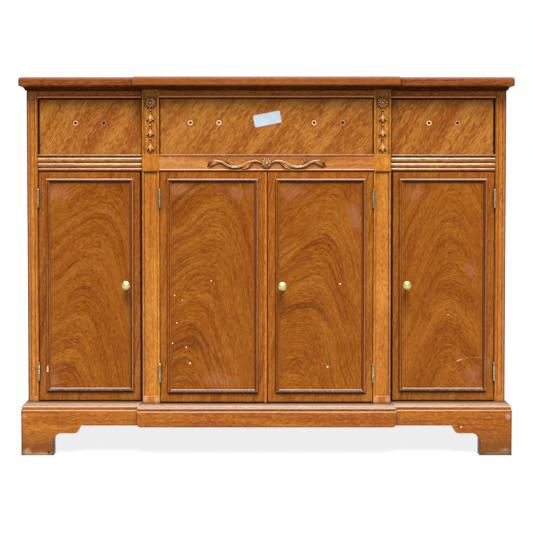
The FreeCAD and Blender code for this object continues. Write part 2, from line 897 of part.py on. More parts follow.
# Carving: each piece tapers from its outline on the ground to a smaller one at its crown.
def relief(shape, ground, height):
    """A carved piece: shape gives the points of its outline for a scale."""
    return faceted([placed(shape(1), ground), placed(shape(crown_share), ground - height)])


def make_rosette(x, z, ground, radius):
    """A round flower with petals and a button in the middle."""
    petals = relief(ring(x, z, [radius, radius * petal_notch_share] * petal_count), ground, petal_relief)
    button = relief(ring(x, z, [button_radius] * bead_facet_count), ground - petal_relief, button_relief)
    return petals.fuse(button)


def bell(x, top, height):
    """The points of one bell flower: a neck, flaring sides and a lip that comes to a point."""
    middle = top - height / 2

    def points(scale):
        right = [(bell_half_width * across, height * (1 / 2 - down)) for across, down in bell_shares]
        left = [(-across, level) for across, level in reversed(right)]
        return [(x + u * scale, middle + v * scale) for u, v in right + [(0, -height / 2)] + left]
    return points


def make_flower_drop():
    """The left drop: a rosette, then three bell flowers with a bead over each, in the sunk panel."""
    x = -pilaster_middle
    ground = centre_front + sunk_depth
    rosette_z = case_top - rosette_margin
    pieces = [make_rosette(x, rosette_z, ground, rosette_radius)]
    for place in drop_bead_places:
        bead = ring(x, rosette_z - place, [drop_bead_radius] * bead_facet_count)
        pieces.append(relief(bead, ground, drop_bead_relief))
    for place, height in zip(bell_places, bell_heights):
        pieces.append(relief(bell(x, rosette_z - place, height), ground, drop_relief))
    return pieces


def stem_wire():
    """The outline of the vine's stem to the right of the rosette: three half waves, each an arc."""
    half_wave = vine_wave_length / 2
    radius = (half_wave ** 2 / 4 + vine_wave_height ** 2) / (2 * vine_wave_height)
    base = rail_bottom + vine_height - vine_drop
    lean = Vector(half_wave / 2 / radius, 0, (radius - vine_wave_height) / radius)
    joints = [Vector(vine_start + index * half_wave, centre_front, base) for index in range(4)]
    signs = (1, -1, 1)
    half_width = vine_stem_width / 2
    rise = Vector(0, 0, half_width)
    upper = []
    lower = []
    for index, sign in enumerate(signs):
        crest = Vector(vine_start + (index + 1 / 2) * half_wave, centre_front, base + sign * vine_wave_height)
        near = Vector(-sign * lean.x, 0, lean.z) * half_width
        far = Vector(sign * lean.x, 0, lean.z) * half_width
        upper.append((joints[index] + near, crest + rise, joints[index + 1] + far))
        lower.append((joints[index] - near, crest - rise, joints[index + 1] - far))
    edges = [Part.Arc(*points).toShape() for points in upper + lower]
    edges.append(Part.LineSegment(upper[0][0], lower[0][0]).toShape())
    edges.append(Part.LineSegment(upper[-1][2], lower[-1][2]).toShape())
    return Part.Wire(Part.sortEdges(edges)[0])


def leaf(begin, end):
    """The points of a leaf of the vine: pointed at both ends and widest near its root."""
    level = rail_bottom + vine_height
    along = (end[0] - begin[0], end[1] - begin[1])
    length = math.hypot(*along)
    middle = (begin[0] + along[0] / 2, level + begin[1] + along[1] / 2)
    out = (-along[1] * leaf_width / length / 2, along[0] * leaf_width / length / 2)

    def points(scale):
        corners = []
        for run, rise in leaf_shares:
            x = along[0] * run + out[0] * rise
            z = along[1] * run + out[1] * rise
            corners.append((middle[0] + x * scale, middle[1] + z * scale))
        return corners
    return points


def make_vine():
    """The rosette in the middle of the rail with a waved stem and three leaves on each side."""
    side = Part.Face(stem_wire()).extrude(Vector(0, -vine_relief, 0))
    side = side.fuse([relief(leaf(begin, end), centre_front, vine_relief) for begin, end in leaves])
    rosette = make_rosette(0, rail_bottom + vine_height, centre_front, vine_rosette_radius)
    side = side.cut(board(-vine_rosette_radius, vine_rosette_radius, centre_front - overrun, centre_front,
                          rail_bottom, drawer_floor))
    return [rosette, side] + mirrored([side])


def save_case():
    save("top_board", [make_top_board()])
    save("top_moulding", make_top_moulding())
    save_pair("side_panel", [board(-half_case, -side_inner, frame_back, case_back, opening_floor, case_top)])
    save_pair("end_stile", [make_stile()])
    save_pair("pilaster", [make_pilaster()])
    save_pair("partition", [board(-partition_outer, -partition_inner, frame_back, inside_back,
                                  opening_floor, case_top)])
    corners = breakfront_corners(base_wing_front, base_centre_front)
    save("bottom_board", [breakfront_board(corners, plinth_height, cap_height)])
    save("back_panel", [board(-side_inner, side_inner, inside_back, case_back, opening_floor, case_top)])
    save("dust_boards", make_dust_boards())
    save("top_rails", make_top_rails())
    save_pair("reeded_rail", [make_reeded_rail()])
    save("centre_rail", [make_centre_rail()])
    save_pair("flower_drop", make_flower_drop())
    save("vine_carving", make_vine())
    save("drawer_guides", make_drawer_guides())
    save("drawer_kickers", make_drawer_kickers())
    save("shelves", make_shelves())
    save("shelf_cleats", make_shelf_cleats())


def save_base():
    save("base_moulding", make_base_moulding())
    save_pair("plinth_wing", [make_plinth_wing()])
    save_pair("plinth_side", [make_plinth_side()])
    save("plinth_centre", [make_plinth_centre()])
    save("plinth_back", [make_plinth_back()])
    save("glue_blocks", make_glue_blocks())


def save_doors():
    for door in doors:
        has_knob = door != "centre_left"
        save("door_" + door, [make_door(door, has_knob)])
        save("door_frame_" + door, make_door_frame(door))
        save("door_fittings_" + door, make_door_fittings(door))
        if has_knob:
            save("knob_" + door, [make_knob(door)])
    save("meeting_bead", [make_meeting_bead()])
    places = [(door, level) for door in doors for level in hinge_levels]
    save("case_hinge_leaves", [make_case_leaf(door, level) for door, level in places])
    save("catch_magnets", make_catch_magnets())


def save_drawers():
    pulls = {
        "left": [-wing_pull_place],
        "centre": [-centre_pull_place, centre_pull_place],
        "right": [wing_pull_place]}
    for bay, places in pulls.items():
        save("drawer_front_" + bay, [make_drawer_front(bay, places)])
        save("drawer_box_" + bay, make_drawer_box(bay))
        save("drawer_bottom_" + bay, [make_drawer_bottom(bay)])


os.makedirs("parts", exist_ok=True)
save_case()
save_base()
save_doors()
save_drawers()
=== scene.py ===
import json
from math import cos, exp, hypot, pi, radians, sin, sqrt

import bmesh
import bpy
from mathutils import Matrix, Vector


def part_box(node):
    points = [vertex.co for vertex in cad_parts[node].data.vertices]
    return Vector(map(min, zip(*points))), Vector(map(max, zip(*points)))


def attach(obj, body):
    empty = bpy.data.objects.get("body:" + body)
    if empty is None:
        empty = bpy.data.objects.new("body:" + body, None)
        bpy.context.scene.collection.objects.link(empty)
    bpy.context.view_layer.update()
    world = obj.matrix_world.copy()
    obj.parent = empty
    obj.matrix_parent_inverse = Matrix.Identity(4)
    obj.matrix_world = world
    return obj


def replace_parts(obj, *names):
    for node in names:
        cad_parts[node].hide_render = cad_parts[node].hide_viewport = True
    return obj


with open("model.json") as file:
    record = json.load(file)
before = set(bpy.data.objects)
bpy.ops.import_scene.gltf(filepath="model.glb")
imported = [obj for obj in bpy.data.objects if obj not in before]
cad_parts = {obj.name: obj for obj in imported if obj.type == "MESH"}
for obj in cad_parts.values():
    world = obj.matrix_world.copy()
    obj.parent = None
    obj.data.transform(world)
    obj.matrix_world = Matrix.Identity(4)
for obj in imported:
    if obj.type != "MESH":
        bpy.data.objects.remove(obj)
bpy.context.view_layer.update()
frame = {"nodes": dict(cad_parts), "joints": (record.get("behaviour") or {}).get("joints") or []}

# The dressed breakfront cabinet. Metres, in the frame of the solids: +X right, +Y back, +Z up.
MM = 0.001
nodes = frame["nodes"]
scene = bpy.context.scene
DOORS = ("left", "centre_left", "centre_right", "right")
BAYS = ("left", "centre", "right")
# Marks on the wood were measured with the cupboards' floor at 127.5 mm
MARKS_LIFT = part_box("bottom_board")[1].z - 0.1275

# Camera: the photograph is taken from the middle, a little above the drawers' height
CAMERA_HEIGHT = 0.6999
CAMERA_DISTANCE = 2.1
CAMERA_PITCH = radians(1.239)
FOCAL_PIXELS = 853.25
IMAGE_SIZE = 533.0
SENSOR = 36.0
SHIFT_Y = -0.1412


def make_camera():
    data = bpy.data.cameras.new("camera")
    data.sensor_width = SENSOR
    data.lens = FOCAL_PIXELS / IMAGE_SIZE * SENSOR
    data.shift_y = SHIFT_Y
    data.clip_start = 0.05
    data.clip_end = 60.0
    camera = bpy.data.objects.new("camera", data)
    scene.collection.objects.link(camera)
    camera.location = (0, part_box("door_centre_left")[0].y - CAMERA_DISTANCE, CAMERA_HEIGHT)
    camera.rotation_euler = (pi / 2 - CAMERA_PITCH, 0, 0)
    scene.camera = camera


# Node graphs
COAT_ROUGHNESS = 0.25


class Value:
    """A number that a node gives. Plus, minus, times and abs add a node each."""

    def __init__(self, graph, socket):
        self.graph, self.socket = graph, socket

    def __add__(self, other):
        return self.graph.math("ADD", self, other)

    def __sub__(self, other):
        return self.graph.math("SUBTRACT", self, other)

    def __rsub__(self, other):
        return self.graph.math("SUBTRACT", other, self)

    def __mul__(self, other):
        return self.graph.math("MULTIPLY", self, other)

    def __abs__(self):
        return self.graph.math("ABSOLUTE", self)

    def below(self, limit):
        return self.graph.math("LESS_THAN", self, limit)

    def above(self, limit):
        return self.graph.math("GREATER_THAN", self, limit)

    def fade(self, low, high, to_low=0.0, to_high=1.0):
        """Goes softly from to_low at low to to_high at high, and stays there beyond them."""
        node = self.graph.node("MapRange", (self, low, high, to_low, to_high), interpolation_type="SMOOTHSTEP")
        return Value(self.graph, node.outputs[0])


class Graph:
    """A node tree under construction."""

    def __init__(self, tree):
        self.tree = tree

    def node(self, kind, values=(), **settings):
        """A new node, with its inputs filled in order or from a table of names or numbers."""
        node = self.tree.nodes.new("ShaderNode" + kind)
        for name, value in settings.items():
            setattr(node, name, value)
        for key, value in values.items() if isinstance(values, dict) else enumerate(values):
            self.put(node.inputs[key], value)
        return node

    def put(self, socket, value):
        if isinstance(value, Value):
            value = value.socket
        if isinstance(value, bpy.types.NodeSocket):
            self.tree.links.new(value, socket)
        else:
            socket.default_value = (*value, 1) if isinstance(value, tuple) else value

    def math(self, operation, *values):
        return Value(self, self.node("Math", values, operation=operation).outputs[0])

    def apart(self, vector):
        return [Value(self, socket) for socket in self.node("SeparateXYZ", [vector]).outputs]


class Surface(Graph):
    """A material under construction."""

    def __init__(self, name, specular, metallic=0.0, coat=0.0):
        self.material = bpy.data.materials.new(name)
        self.material.use_nodes = True
        super().__init__(self.material.node_tree)
        self.shader = self.tree.nodes["Principled BSDF"]
        self.fill({"Specular IOR Level": specular, "Metallic": metallic, "Coat Weight": coat,
                   "Coat Roughness": COAT_ROUGHNESS})
        self.place = self.node("TexCoord").outputs["Object"]
        self.x, self.y, self.z = self.apart(self.place)

    def fill(self, values):
        for name, value in values.items():
            self.put(self.shader.inputs[name], value)

    def vector(self, *parts):
        return self.node("CombineXYZ", parts).outputs[0]

    def off(self, x, z):
        """How far a point lies from a place on a face, along X and Z."""
        return self.x - x, self.z - (z + MARKS_LIFT)

    def reach(self, u, v):
        return self.math("SQRT", u * u + v * v)

    def noise(self, scale, detail, rough=0.55, where=None):
        node = self.node("TexNoise", {"Vector": self.place if where is None else where, "Scale": scale,
                                      "Detail": detail, "Roughness": rough})
        return Value(self, node.outputs[0])

    def wobble(self, scale, amount, detail=2.0, rough=0.55):
        """Noise about zero."""
        return (self.noise(scale, detail, rough) - 0.5) * amount

    def grain(self, across, length, width, seed, detail=2.0, rough=0.55):
        """Noise drawn out along the lines on which the distance across the grain stays the same.
        length and width are in metres."""
        node = self.node("TexNoise", {"Vector": self.place, "W": across * (length / width) + seed,
                                      "Scale": 1 / length, "Detail": detail, "Roughness": rough},
                         noise_dimensions="4D")
        return Value(self, node.outputs[0])

    def cells(self, scale, where):
        """The distance from the middle of the nearest cell, and a number that each cell has for itself."""
        node = self.node("TexVoronoi", {"Vector": where, "Scale": scale})
        return Value(self, node.outputs["Distance"]), Value(self, node.outputs["Color"])

    def ramp(self, value, stops):
        node = self.node("ValToRGB", [value])
        band = node.color_ramp
        while len(band.elements) < len(stops):
            band.elements.new(0.5)
        for element, (place, colour) in zip(band.elements, stops):
            element.position = place
            element.color = (*colour, 1)
        return node.outputs[0]

    def mix(self, share, a, b, blend="MIX"):
        return self.node("Mix", {0: share, 6: a, 7: b}, data_type="RGBA", blend_type=blend).outputs[2]

    def edges(self, radius):
        """1 on sharp edges, fading to 0 at the radius from them."""
        bevel = self.node("Bevel", {"Radius": radius}, samples=4)
        face = self.node("NewGeometry")
        dot = self.node("VectorMath", [bevel.outputs[0], face.outputs["True Normal"]], operation="DOT_PRODUCT")
        return Value(self, dot.outputs["Value"]).fade(0.98, 0.75)

    def crevices(self, reach):
        """1 in the open, less in a groove or a corner (ambient occlusion): hollows get painted shade by it, as well
        as old polish and dirt.
        """
        return Value(self, self.node("AmbientOcclusion", {"Distance": reach}, samples=4).outputs["AO"])

    def finish(self, colour, height, bump, depth, roughness):
        bumps = self.node("Bump", {"Height": height, "Strength": bump, "Distance": depth})
        self.fill({"Base Color": colour, "Normal": bumps.outputs[0], "Roughness": roughness})
        return self.material


# Studio
ROOM_LIGHT = 0.18
SKY_LIGHT = 0.45
FLOOR_SHADE = 0.06
FLOOR_GLOW = 0.84


def soft_sun(name, azimuth, elevation, strength, softness, colour):
    """Even light from far away; azimuth 0 shines from the front, and more of it comes from the right."""
    data = bpy.data.lights.new(name, "SUN")
    data.energy = strength
    data.angle = radians(softness)
    data.color = colour
    light = bpy.data.objects.new(name, data)
    turn, rise = radians(azimuth), radians(elevation)
    source = Vector((sin(turn) * cos(rise), -cos(turn) * cos(rise), sin(rise)))
    light.rotation_euler = source.to_track_quat("Z", "Y").to_euler()
    scene.collection.objects.link(light)


def make_sky():
    """White behind the cabinet and overhead, and dimmer in the room before it."""
    world = bpy.data.worlds.new("studio")
    world.use_nodes = True
    graph = Graph(world.node_tree)
    across, depth, height = graph.apart(graph.node("TexCoord").outputs["Generated"])
    light = graph.math("MAXIMUM", depth.fade(-0.35, 0.25, ROOM_LIGHT, 1.0), height.fade(0.0, 0.9, 0.0, SKY_LIGHT))
    background = graph.tree.nodes["Background"]
    graph.put(background.inputs["Color"], (1.0, 1.0, 1.0))
    graph.put(background.inputs["Strength"], light)
    scene.world = world


def make_studio():
    """Two soft suns high in front, a sky that is white behind the cabinet, and a pale glowing floor."""
    make_sky()
    scene.view_settings.view_transform = "Standard"
    soft_sun("key", 8.0, 60.0, 9.6, 26.0, (1.0, 0.985, 0.965))
    soft_sun("overhead", -14.0, 74.0, 8.0, 28.0, (1.0, 0.99, 0.98))
    bpy.ops.mesh.primitive_plane_add(size=24)
    floor = bpy.context.object
    floor.name = "floor"
    paper = Surface("floor_paper", 0.1)
    paper.fill({"Base Color": (FLOOR_SHADE,) * 3, "Emission Color": (1.0, 1.0, 1.0), "Emission Strength": FLOOR_GLOW,
                "Roughness": 0.9})
    floor.data.materials.append(paper.material)


# Wood. A figure gives how far a point lies across the grain, in metres.
OFF_PLANE = 0.8
DRAWER_MIDDLE = 0.81
DOOR_MIDDLE = 0.41
FLAME_WARP = 0.07


def upright_grain(graph):
    return graph.x + graph.y * OFF_PLANE


def level_grain(graph):
    return graph.z + graph.y * OFF_PLANE


def deep_grain(graph):
    return graph.x + graph.z * OFF_PLANE


def slanted_grain(degrees, bend=0.0, centre=0.0):
    """Grain that climbs to the right at an angle, which leans over on the way along the drawer."""
    angle = radians(degrees)

    def figure(graph):
        u = graph.x - centre
        v = graph.z - DRAWER_MIDDLE + u * u * bend
        return v * cos(angle) + u * -sin(angle)
    return figure


def flame_grain(apex, lean, spread, sharpness, tilt):
    """Cathedral arches up a door: their tops stand on a leaning line, and their legs run down beside it."""
    def figure(graph):
        u = graph.x - ((graph.z - DOOR_MIDDLE) * lean + apex)
        softened = graph.math("SQRT", u * u + sharpness ** 2)
        warp = graph.noise(6.0, 1.0, where=graph.vector(graph.x, 0.0, graph.z))
        return (graph.z + softened * spread + u * tilt + (warp - 0.5) * FLAME_WARP) * 0.5
    return figure


WOOD_DARK = (0.09, 0.0178, 0.0008)
WOOD_MID = (0.13, 0.0365, 0.0016)
WOOD_LIGHT = (0.172, 0.061, 0.0062)
# the dark of old polish and of painted shade, for corners and grooves
OLD_POLISH_AND_SHADE = (0.01, 0.0024, 0.0005)
RUBBED = (0.24, 0.115, 0.045)


def tinted(colour, tint):
    return tuple(c * t for c, t in zip(colour, tint))


def wood(name, figure, tint, bands=30, contrast=0.8, border=None, roughness=0.36, wear=1.0, marks=(),
         seed=0, lines=0.5, fleck=1.0, fleck_size=(0.009, 0.0016), grime_and_shade=0.8, grime_and_shade_reach=0.01,
         shine=(0.16, 0.05), edge_reach=0.0014):
    """Polished mahogany. bands: broad stripes in a metre across the grain. shine: specular and coat.
    border: a rectangle (x0, x1, z0, z1), the figure of the wood outside it and its tint."""
    graph = Surface(name, shine[0], coat=shine[1])
    across = figure(graph)
    if border:
        (x0, x1, z0, z1), border_figure, border_tint = border
        inside = (abs(graph.x - (x0 + x1) / 2).below((x1 - x0) / 2)
                  * abs(graph.z - (z0 + z1) / 2).below((z1 - z0) / 2))
        outside = 1.0 - inside
        across = across * inside + border_figure(graph) * outside
    across = across + graph.wobble(9.0, 0.01)
    ragged = across + graph.wobble(120.0, 0.0018)
    flecks = graph.grain(across, *fleck_size, seed + 5.0, 1.0, 0.6)
    pores = graph.grain(across, 0.006, 0.0009, seed + 8.0)
    parts = ((graph.grain(across, 0.45, 1 / bands, seed, 2.0, 0.5), 1.15 * contrast),
             (graph.grain(ragged, 0.2, 0.0042, seed + 2.0, 1.0, 0.6), 0.5 * contrast),
             (flecks, 3.0 * fleck), (graph.noise(14.0, 3.0, 0.6), 0.4))
    tone = parts[0][0] * parts[0][1]
    for part, weight in parts[1:]:
        tone = tone + part * weight
    tone = tone + (0.5 - 0.5 * sum(weight for part, weight in parts))
    colour = graph.ramp(tone, [(0.15, tinted(WOOD_DARK, tint)), (0.5, tinted(WOOD_MID, tint)),
                               (0.85, tinted(WOOD_LIGHT, tint))])
    # thin dark rings here and there, and pores
    dark = tinted(WOOD_DARK, tuple(0.55 * t for t in tint))
    rings = abs(graph.grain(ragged, 0.5, 0.01, seed + 3.0, 0.0) - 0.5).fade(0.006, 0.04, 1.0, 0.0)
    where = graph.grain(across, 0.2, 0.06, seed + 7.0).fade(0.36, 0.56)
    colour = graph.mix(rings * where * (0.62 * lines), colour, dark)
    colour = graph.mix(pores.fade(0.56, 0.72, 0.0, 0.6), colour, dark)
    if border:
        colour = graph.mix(outside, colour, graph.mix(1.0, colour, border_tint, "MULTIPLY"))
    # old polish and painted shade in the corners, rubbed edges, pale specks and small dark dents
    colour = graph.mix(graph.crevices(grime_and_shade_reach).fade(0.3, 0.92, grime_and_shade, 0.0), colour, OLD_POLISH_AND_SHADE)
    patches = graph.noise(38.0, 4.0, 0.7)
    colour = graph.mix(graph.edges(edge_reach) * patches.fade(0.52, 0.66, 0.0, 0.8 * wear), colour, RUBBED)
    for scale, space, chance, size, strength, shade in (
            (48.0, graph.place, 0.012, 0.075, 0.8, (0.4, 0.3, 0.19)),
            (62.0, graph.vector(graph.x, graph.z, graph.y), 0.1, 0.085, 0.6, (0.012, 0.003, 0.001))):
        distance, pick = graph.cells(scale, space)
        speck = distance.fade(0.03, size, 1.0, 0.0) * pick.above(1.0 - chance * wear)
        colour = graph.mix(speck * strength, colour, shade)
    for mark in marks:
        colour = mark(graph, colour)
    haze = graph.noise(16.0, 4.0)
    gloss = haze * 0.16 + pores * 0.1 + (roughness - 0.13)
    height = flecks * 0.5 + pores * -0.8 + haze * 0.6
    return graph.finish(colour, height, 0.12, 0.0005, gloss)


# Marks on the wood. Places are in metres, and sizes and distances from a place in millimetres.
HALF_BOARD = 9.0


def spot(x, z, radius, colour, strength, soft=0.35, ring=0.0):
    """A soft disc on a face, or a ring when ring is its inner radius."""
    def mark(graph, under):
        outer = radius * MM
        reach = graph.reach(*graph.off(x, z)) + graph.wobble(240.0, outer * 0.25)
        share = reach.fade(outer * (1 - soft), outer, strength, 0.0)
        if ring:
            share = share * reach.fade(ring * MM * 0.8, ring * MM)
        return graph.mix(share, under, colour)
    return mark


def strip(axis, place, near, far, colour, strength, ragged=1.2, within=None):
    """A stretch along an axis, from near to far off a place, with ragged ends.
    within: an axis and two places on it that bound the strip the other way."""
    def mark(graph, under):
        wobble = graph.wobble(150.0, ragged * MM * 2)
        blur = ragged * MM / 2
        share = strength
        bounds = [(axis, *sorted((place + near * MM, place + far * MM)))]
        for name, start, end in bounds + ([within] if within else []):
            at = getattr(graph, name) + wobble
            share = at.fade(start - blur, start + blur) * share
            share = at.fade(end - blur, end + blur, 1.0, 0.0) * share
        return graph.mix(share, under, colour)
    return mark


def bloom(x, z, wide, tall, colour, strength):
    """A patch of dull polish with cloudy borders."""
    def mark(graph, under):
        u, v = graph.off(x, z)
        reach = graph.reach(u * (1 / (wide * MM)), v * (1 / (tall * MM)))
        reach = reach + graph.wobble(34.0, 2.4, 4.0, 0.7)
        return graph.mix(reach.fade(0.1, 1.1, strength, 0.0), under, colour)
    return mark


def scratch(start, end, width, colour, strength):
    """A ragged scratch between two places on a face."""
    def mark(graph, under):
        dx, dz = end[0] - start[0], end[1] - start[1]
        length = hypot(dx, dz)
        dx, dz = dx / length, dz / length
        u, v = graph.off(*start)
        along = u * dx + v * dz
        off = abs(v * dx + u * -dz)
        rag = graph.noise(1.0, 3.0, where=graph.vector(along * 60.0, off * 400.0, 0.0))
        line = off.fade(width * MM * 0.3, width * MM, 1.0, 0.0)
        ends = along.fade(0.0, length * 0.1) * along.fade(length * 0.9, length, 1.0, 0.0)
        return graph.mix(line * ends * rag.fade(0.42, 0.6, 0.0, strength), under, colour)
    return mark


def on_face(marks, face):
    """The marks of a front, kept off the wood behind the middle of the board."""
    def mark(graph, under):
        marked = under
        for each in marks:
            marked = each(graph, marked)
        return graph.mix(graph.y.below(face + HALF_BOARD * MM), under, marked)
    return mark


# Other materials
def bare_wood(name, colour, seed, grain=level_grain):
    """Unpolished secondary wood, with plain grain and saw marks."""
    graph = Surface(name, 0.15)
    across = grain(graph)
    broad = graph.grain(across, 0.5, 0.03, seed, 3.0, 0.6)
    fine = graph.grain(across, 0.08, 0.0024, seed + 4.0, 3.0)
    tone = broad * 0.7 + fine * 0.3 + graph.noise(6.0, 4.0) * 0.3 - 0.15
    shade = graph.ramp(tone, [(0.2, tinted(colour, (0.55, 0.5, 0.42))), (0.5, colour),
                              (0.8, tinted(colour, (1.35, 1.4, 1.5)))])
    # darker in corners and grooves by ambient occlusion: painted shade
    shade = graph.mix(graph.crevices(0.03).fade(0.1, 0.8, 0.6, 0.0), shade, tinted(colour, (0.25, 0.2, 0.15)))
    return graph.finish(shade, fine + graph.noise(140.0, 1.0) * 0.6, 0.25, 0.0006, fine * 0.15 + 0.62)


def brass(name, colour, dull, roughness, tarnish):
    """Metal with clouds of tarnish and fine scratches along Z."""
    graph = Surface(name, 0.5, metallic=1.0)
    cloud = graph.noise(90.0, 4.0, 0.65)
    scratches = graph.noise(1.0, 2.0, where=graph.vector(graph.x * 900.0, graph.y * 900.0, graph.z * 160.0))
    share = cloud.fade(0.5 - tarnish * 0.3, 0.8 - tarnish * 0.2)
    shade = graph.mix(share, colour, dull)
    shade = graph.mix(graph.crevices(0.004).fade(0.2, 0.8, 0.7, 0.0), shade, tinted(dull, (0.3, 0.28, 0.25)))
    gloss = share * 0.22 + scratches * 0.12 + (roughness - 0.06)
    return graph.finish(shade, scratches + cloud * 0.5, 0.08, 0.0003, gloss)


def paper_material():
    graph = Surface("tag_paper", 0.3)
    fibre = graph.noise(900.0, 3.0)
    shade = graph.noise(60.0, 2.0)
    colour = graph.ramp(fibre * 0.3 + shade * 0.7, [(0.3, (0.22, 0.255, 0.3)), (0.7, (0.265, 0.3, 0.345))])
    return graph.finish(colour, fibre, 0.1, 0.0002, shade * 0.1 + 0.5)


def plastic_material():
    graph = Surface("catch_plastic", 0.4)
    cloud = graph.noise(30.0, 3.0)
    colour = graph.ramp(cloud, [(0.3, (0.045, 0.025, 0.014)), (0.7, (0.07, 0.04, 0.024))])
    return graph.finish(colour, graph.noise(700.0, 3.0), 0.2, 0.0003, cloud * 0.2 + 0.4)


# Meshes
def make_piece(name, rows, material, body="case", smooth=40, caps=True):
    """A surface through rows of points; each row is a ring and is joined to the next.
    Edges sharper than smooth, in degrees, stay sharp."""
    mesh = bmesh.new()
    grid = [[mesh.verts.new(point) for point in row] for row in rows]
    for near, far in zip(grid[:-1], grid[1:]):
        for index in range(len(near)):
            following = (index + 1) % len(near)
            mesh.faces.new((near[index], near[following], far[following], far[index]))
    if caps:
        mesh.faces.new(list(reversed(grid[0])))
        mesh.faces.new(grid[-1])
    bmesh.ops.remove_doubles(mesh, verts=mesh.verts, dist=1e-6)
    bmesh.ops.recalc_face_normals(mesh, faces=mesh.faces)
    for face in mesh.faces:
        face.smooth = True
    for edge in mesh.edges:
        if len(edge.link_faces) == 2 and edge.calc_face_angle() > radians(smooth):
            edge.smooth = False
    data = bpy.data.meshes.new(name)
    mesh.to_mesh(data)
    mesh.free()
    piece = bpy.data.objects.new(name, data)
    scene.collection.objects.link(piece)
    data.materials.append(material)
    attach(piece, body)
    return piece


def joined(name, parts):
    """Joins pieces of one body into the first, under a new name."""
    first = parts[0]
    mesh = bmesh.new()
    for part in parts:
        mesh.from_mesh(part.data)
    mesh.to_mesh(first.data)
    mesh.free()
    for part in parts[1:]:
        bpy.data.objects.remove(part)
    first.name = name
    return first


def circle(count):
    """Pairs of cosine and sine, once round."""
    return [(cos(2 * pi * i / count), sin(2 * pi * i / count)) for i in range(count)]


def lathe_rows(profile, centre, segments):
    """Rings about an axis that faces the front; the profile holds radii and reaches in millimetres."""
    return [[(centre[0] + radius * MM * c, centre[1] - reach * MM, centre[2] + radius * MM * s)
             for c, s in circle(segments)] for radius, reach in profile]


def post_rows(profile, axis, segments):
    """Rings about an upright axis; the profile holds radii and levels in millimetres."""
    return [[(axis.x + radius * MM * c, axis.y + radius * MM * s, level * MM) for c, s in circle(segments)]
            for radius, level in profile]


def box_rows(low, high):
    x0, y0, z0 = low
    x1, y1, z1 = high
    return [[(x0, y0, z), (x1, y0, z), (x1, y1, z), (x0, y1, z)] for z in (z0, z1)]


def arc(start, end, centre, radius, steps):
    """Points on a circle between two angles in degrees."""
    turns = [radians(start + (end - start) * i / steps) for i in range(steps + 1)]
    return [(centre[0] + radius * cos(turn), centre[1] + radius * sin(turn)) for turn in turns]


KNOB_PROFILE = (
    [(0.01, 0.0), (5.95, 0.0), (6.0, 0.4), (5.9, 1.3), (5.2, 1.8), (3.9, 2.4), (3.4, 3.4), (3.2, 6.0), (3.3, 10.0),
     (3.9, 14.0), (4.9, 17.0), (6.2, 18.8), (7.6, 19.8), (8.7, 20.3)]
    + arc(-70, 80, (8.25, 22.2), 2.0, 10)
    + [(8.2, 24.35), (7.9, 24.7), (7.5, 25.2), (7.0, 25.9), (6.5, 26.4), (5.0, 26.9), (3.0, 27.4), (1.4, 27.8),
       (0.01, 28.0)])


def make_knobs(material):
    for door in ("left", "centre_right", "right"):
        low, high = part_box("knob_" + door)
        centre = ((low.x + high.x) / 2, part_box("door_" + door)[0].y, (low.z + high.z) / 2)
        knob = make_piece("turned_knob_" + door, lathe_rows(KNOB_PROFILE, centre, 48), material,
                          body=door + "_door", smooth=30)
        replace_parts(knob, "knob_" + door)


# The applied frames of the doors: reach in from the outer edge, and height over the door, in millimetres
FRAME_PROFILE = (
    [(0.0, -0.4), (0.0, 1.3), (0.25, 1.6), (0.9, 1.75), (1.3, 1.55), (1.5, 1.3)]
    + [(3.9 - 2.4 * cos(radians(a)), 1.35 + 2.85 * sin(radians(a))) for a in range(10, 180, 17)]
    + [(6.45, 1.05), (6.75, 1.0), (7.0, 1.35), (7.5, 2.0), (8.3, 2.35), (9.2, 2.15), (10.2, 1.35), (10.8, 0.75),
       (11.0, 0.4), (11.0, -0.4)])


def frame_materials(door):
    """Painted highlights on the ridges and painted shade in the hollows of the four runs of a door's moulding."""
    low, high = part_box("door_frame_" + door)
    pale, dull, dark = (0.31, 0.205, 0.14), (0.2, 0.115, 0.072), (0.026, 0.007, 0.002)
    # uprights: painted shade on the left run's outer edge and hollow and on the right run's inner side, dim painted
    # highlights on the ridges
    upright = [strip("x", low.x, -1, 1.8, dark, 0.55), strip("x", low.x, 6.0, 7.4, dark, 0.25),
               strip("x", low.x, 8.2, 10.2, dull, 0.12),
               strip("x", high.x, -11.5, -5.4, (0.06, 0.014, 0.003), 0.85),
               strip("x", high.x, -4.8, -2.8, dull, 0.35)]
    # level runs: painted highlights on the upper slopes of the top and bottom runs, and painted shade below them
    level = [strip("z", high.z, -4.4, -1.0, pale, 0.5), strip("z", high.z, -11.5, -5.4, dark, 0.92),
             strip("z", low.z, 6.2, 10.6, (0.15, 0.112, 0.092), 0.8), strip("z", low.z, -1, 6.0, dark, 0.96)]
    if door == "left":
        upright.append(strip("x", low.x, 1, 5.2, (0.5, 0.36, 0.24), 0.65,
                             within=("z", 0.2025 + MARKS_LIFT, 0.2165 + MARKS_LIFT)))
    seed = 57.0 + 2.3 * DOORS.index(door)
    return [wood(f"mahogany_frame_{way}_{door}", grain, (1.0, 1.0, 1.6), bands=60, contrast=0.6,
                 seed=seed + offset, roughness=0.38, shine=(0.1, 0.0), grime_and_shade_reach=0.006, fleck=0.5, marks=marks)
            for way, grain, offset, marks in (("upright", upright_grain, 0.0, upright),
                                              ("level", level_grain, 1.0, level))]


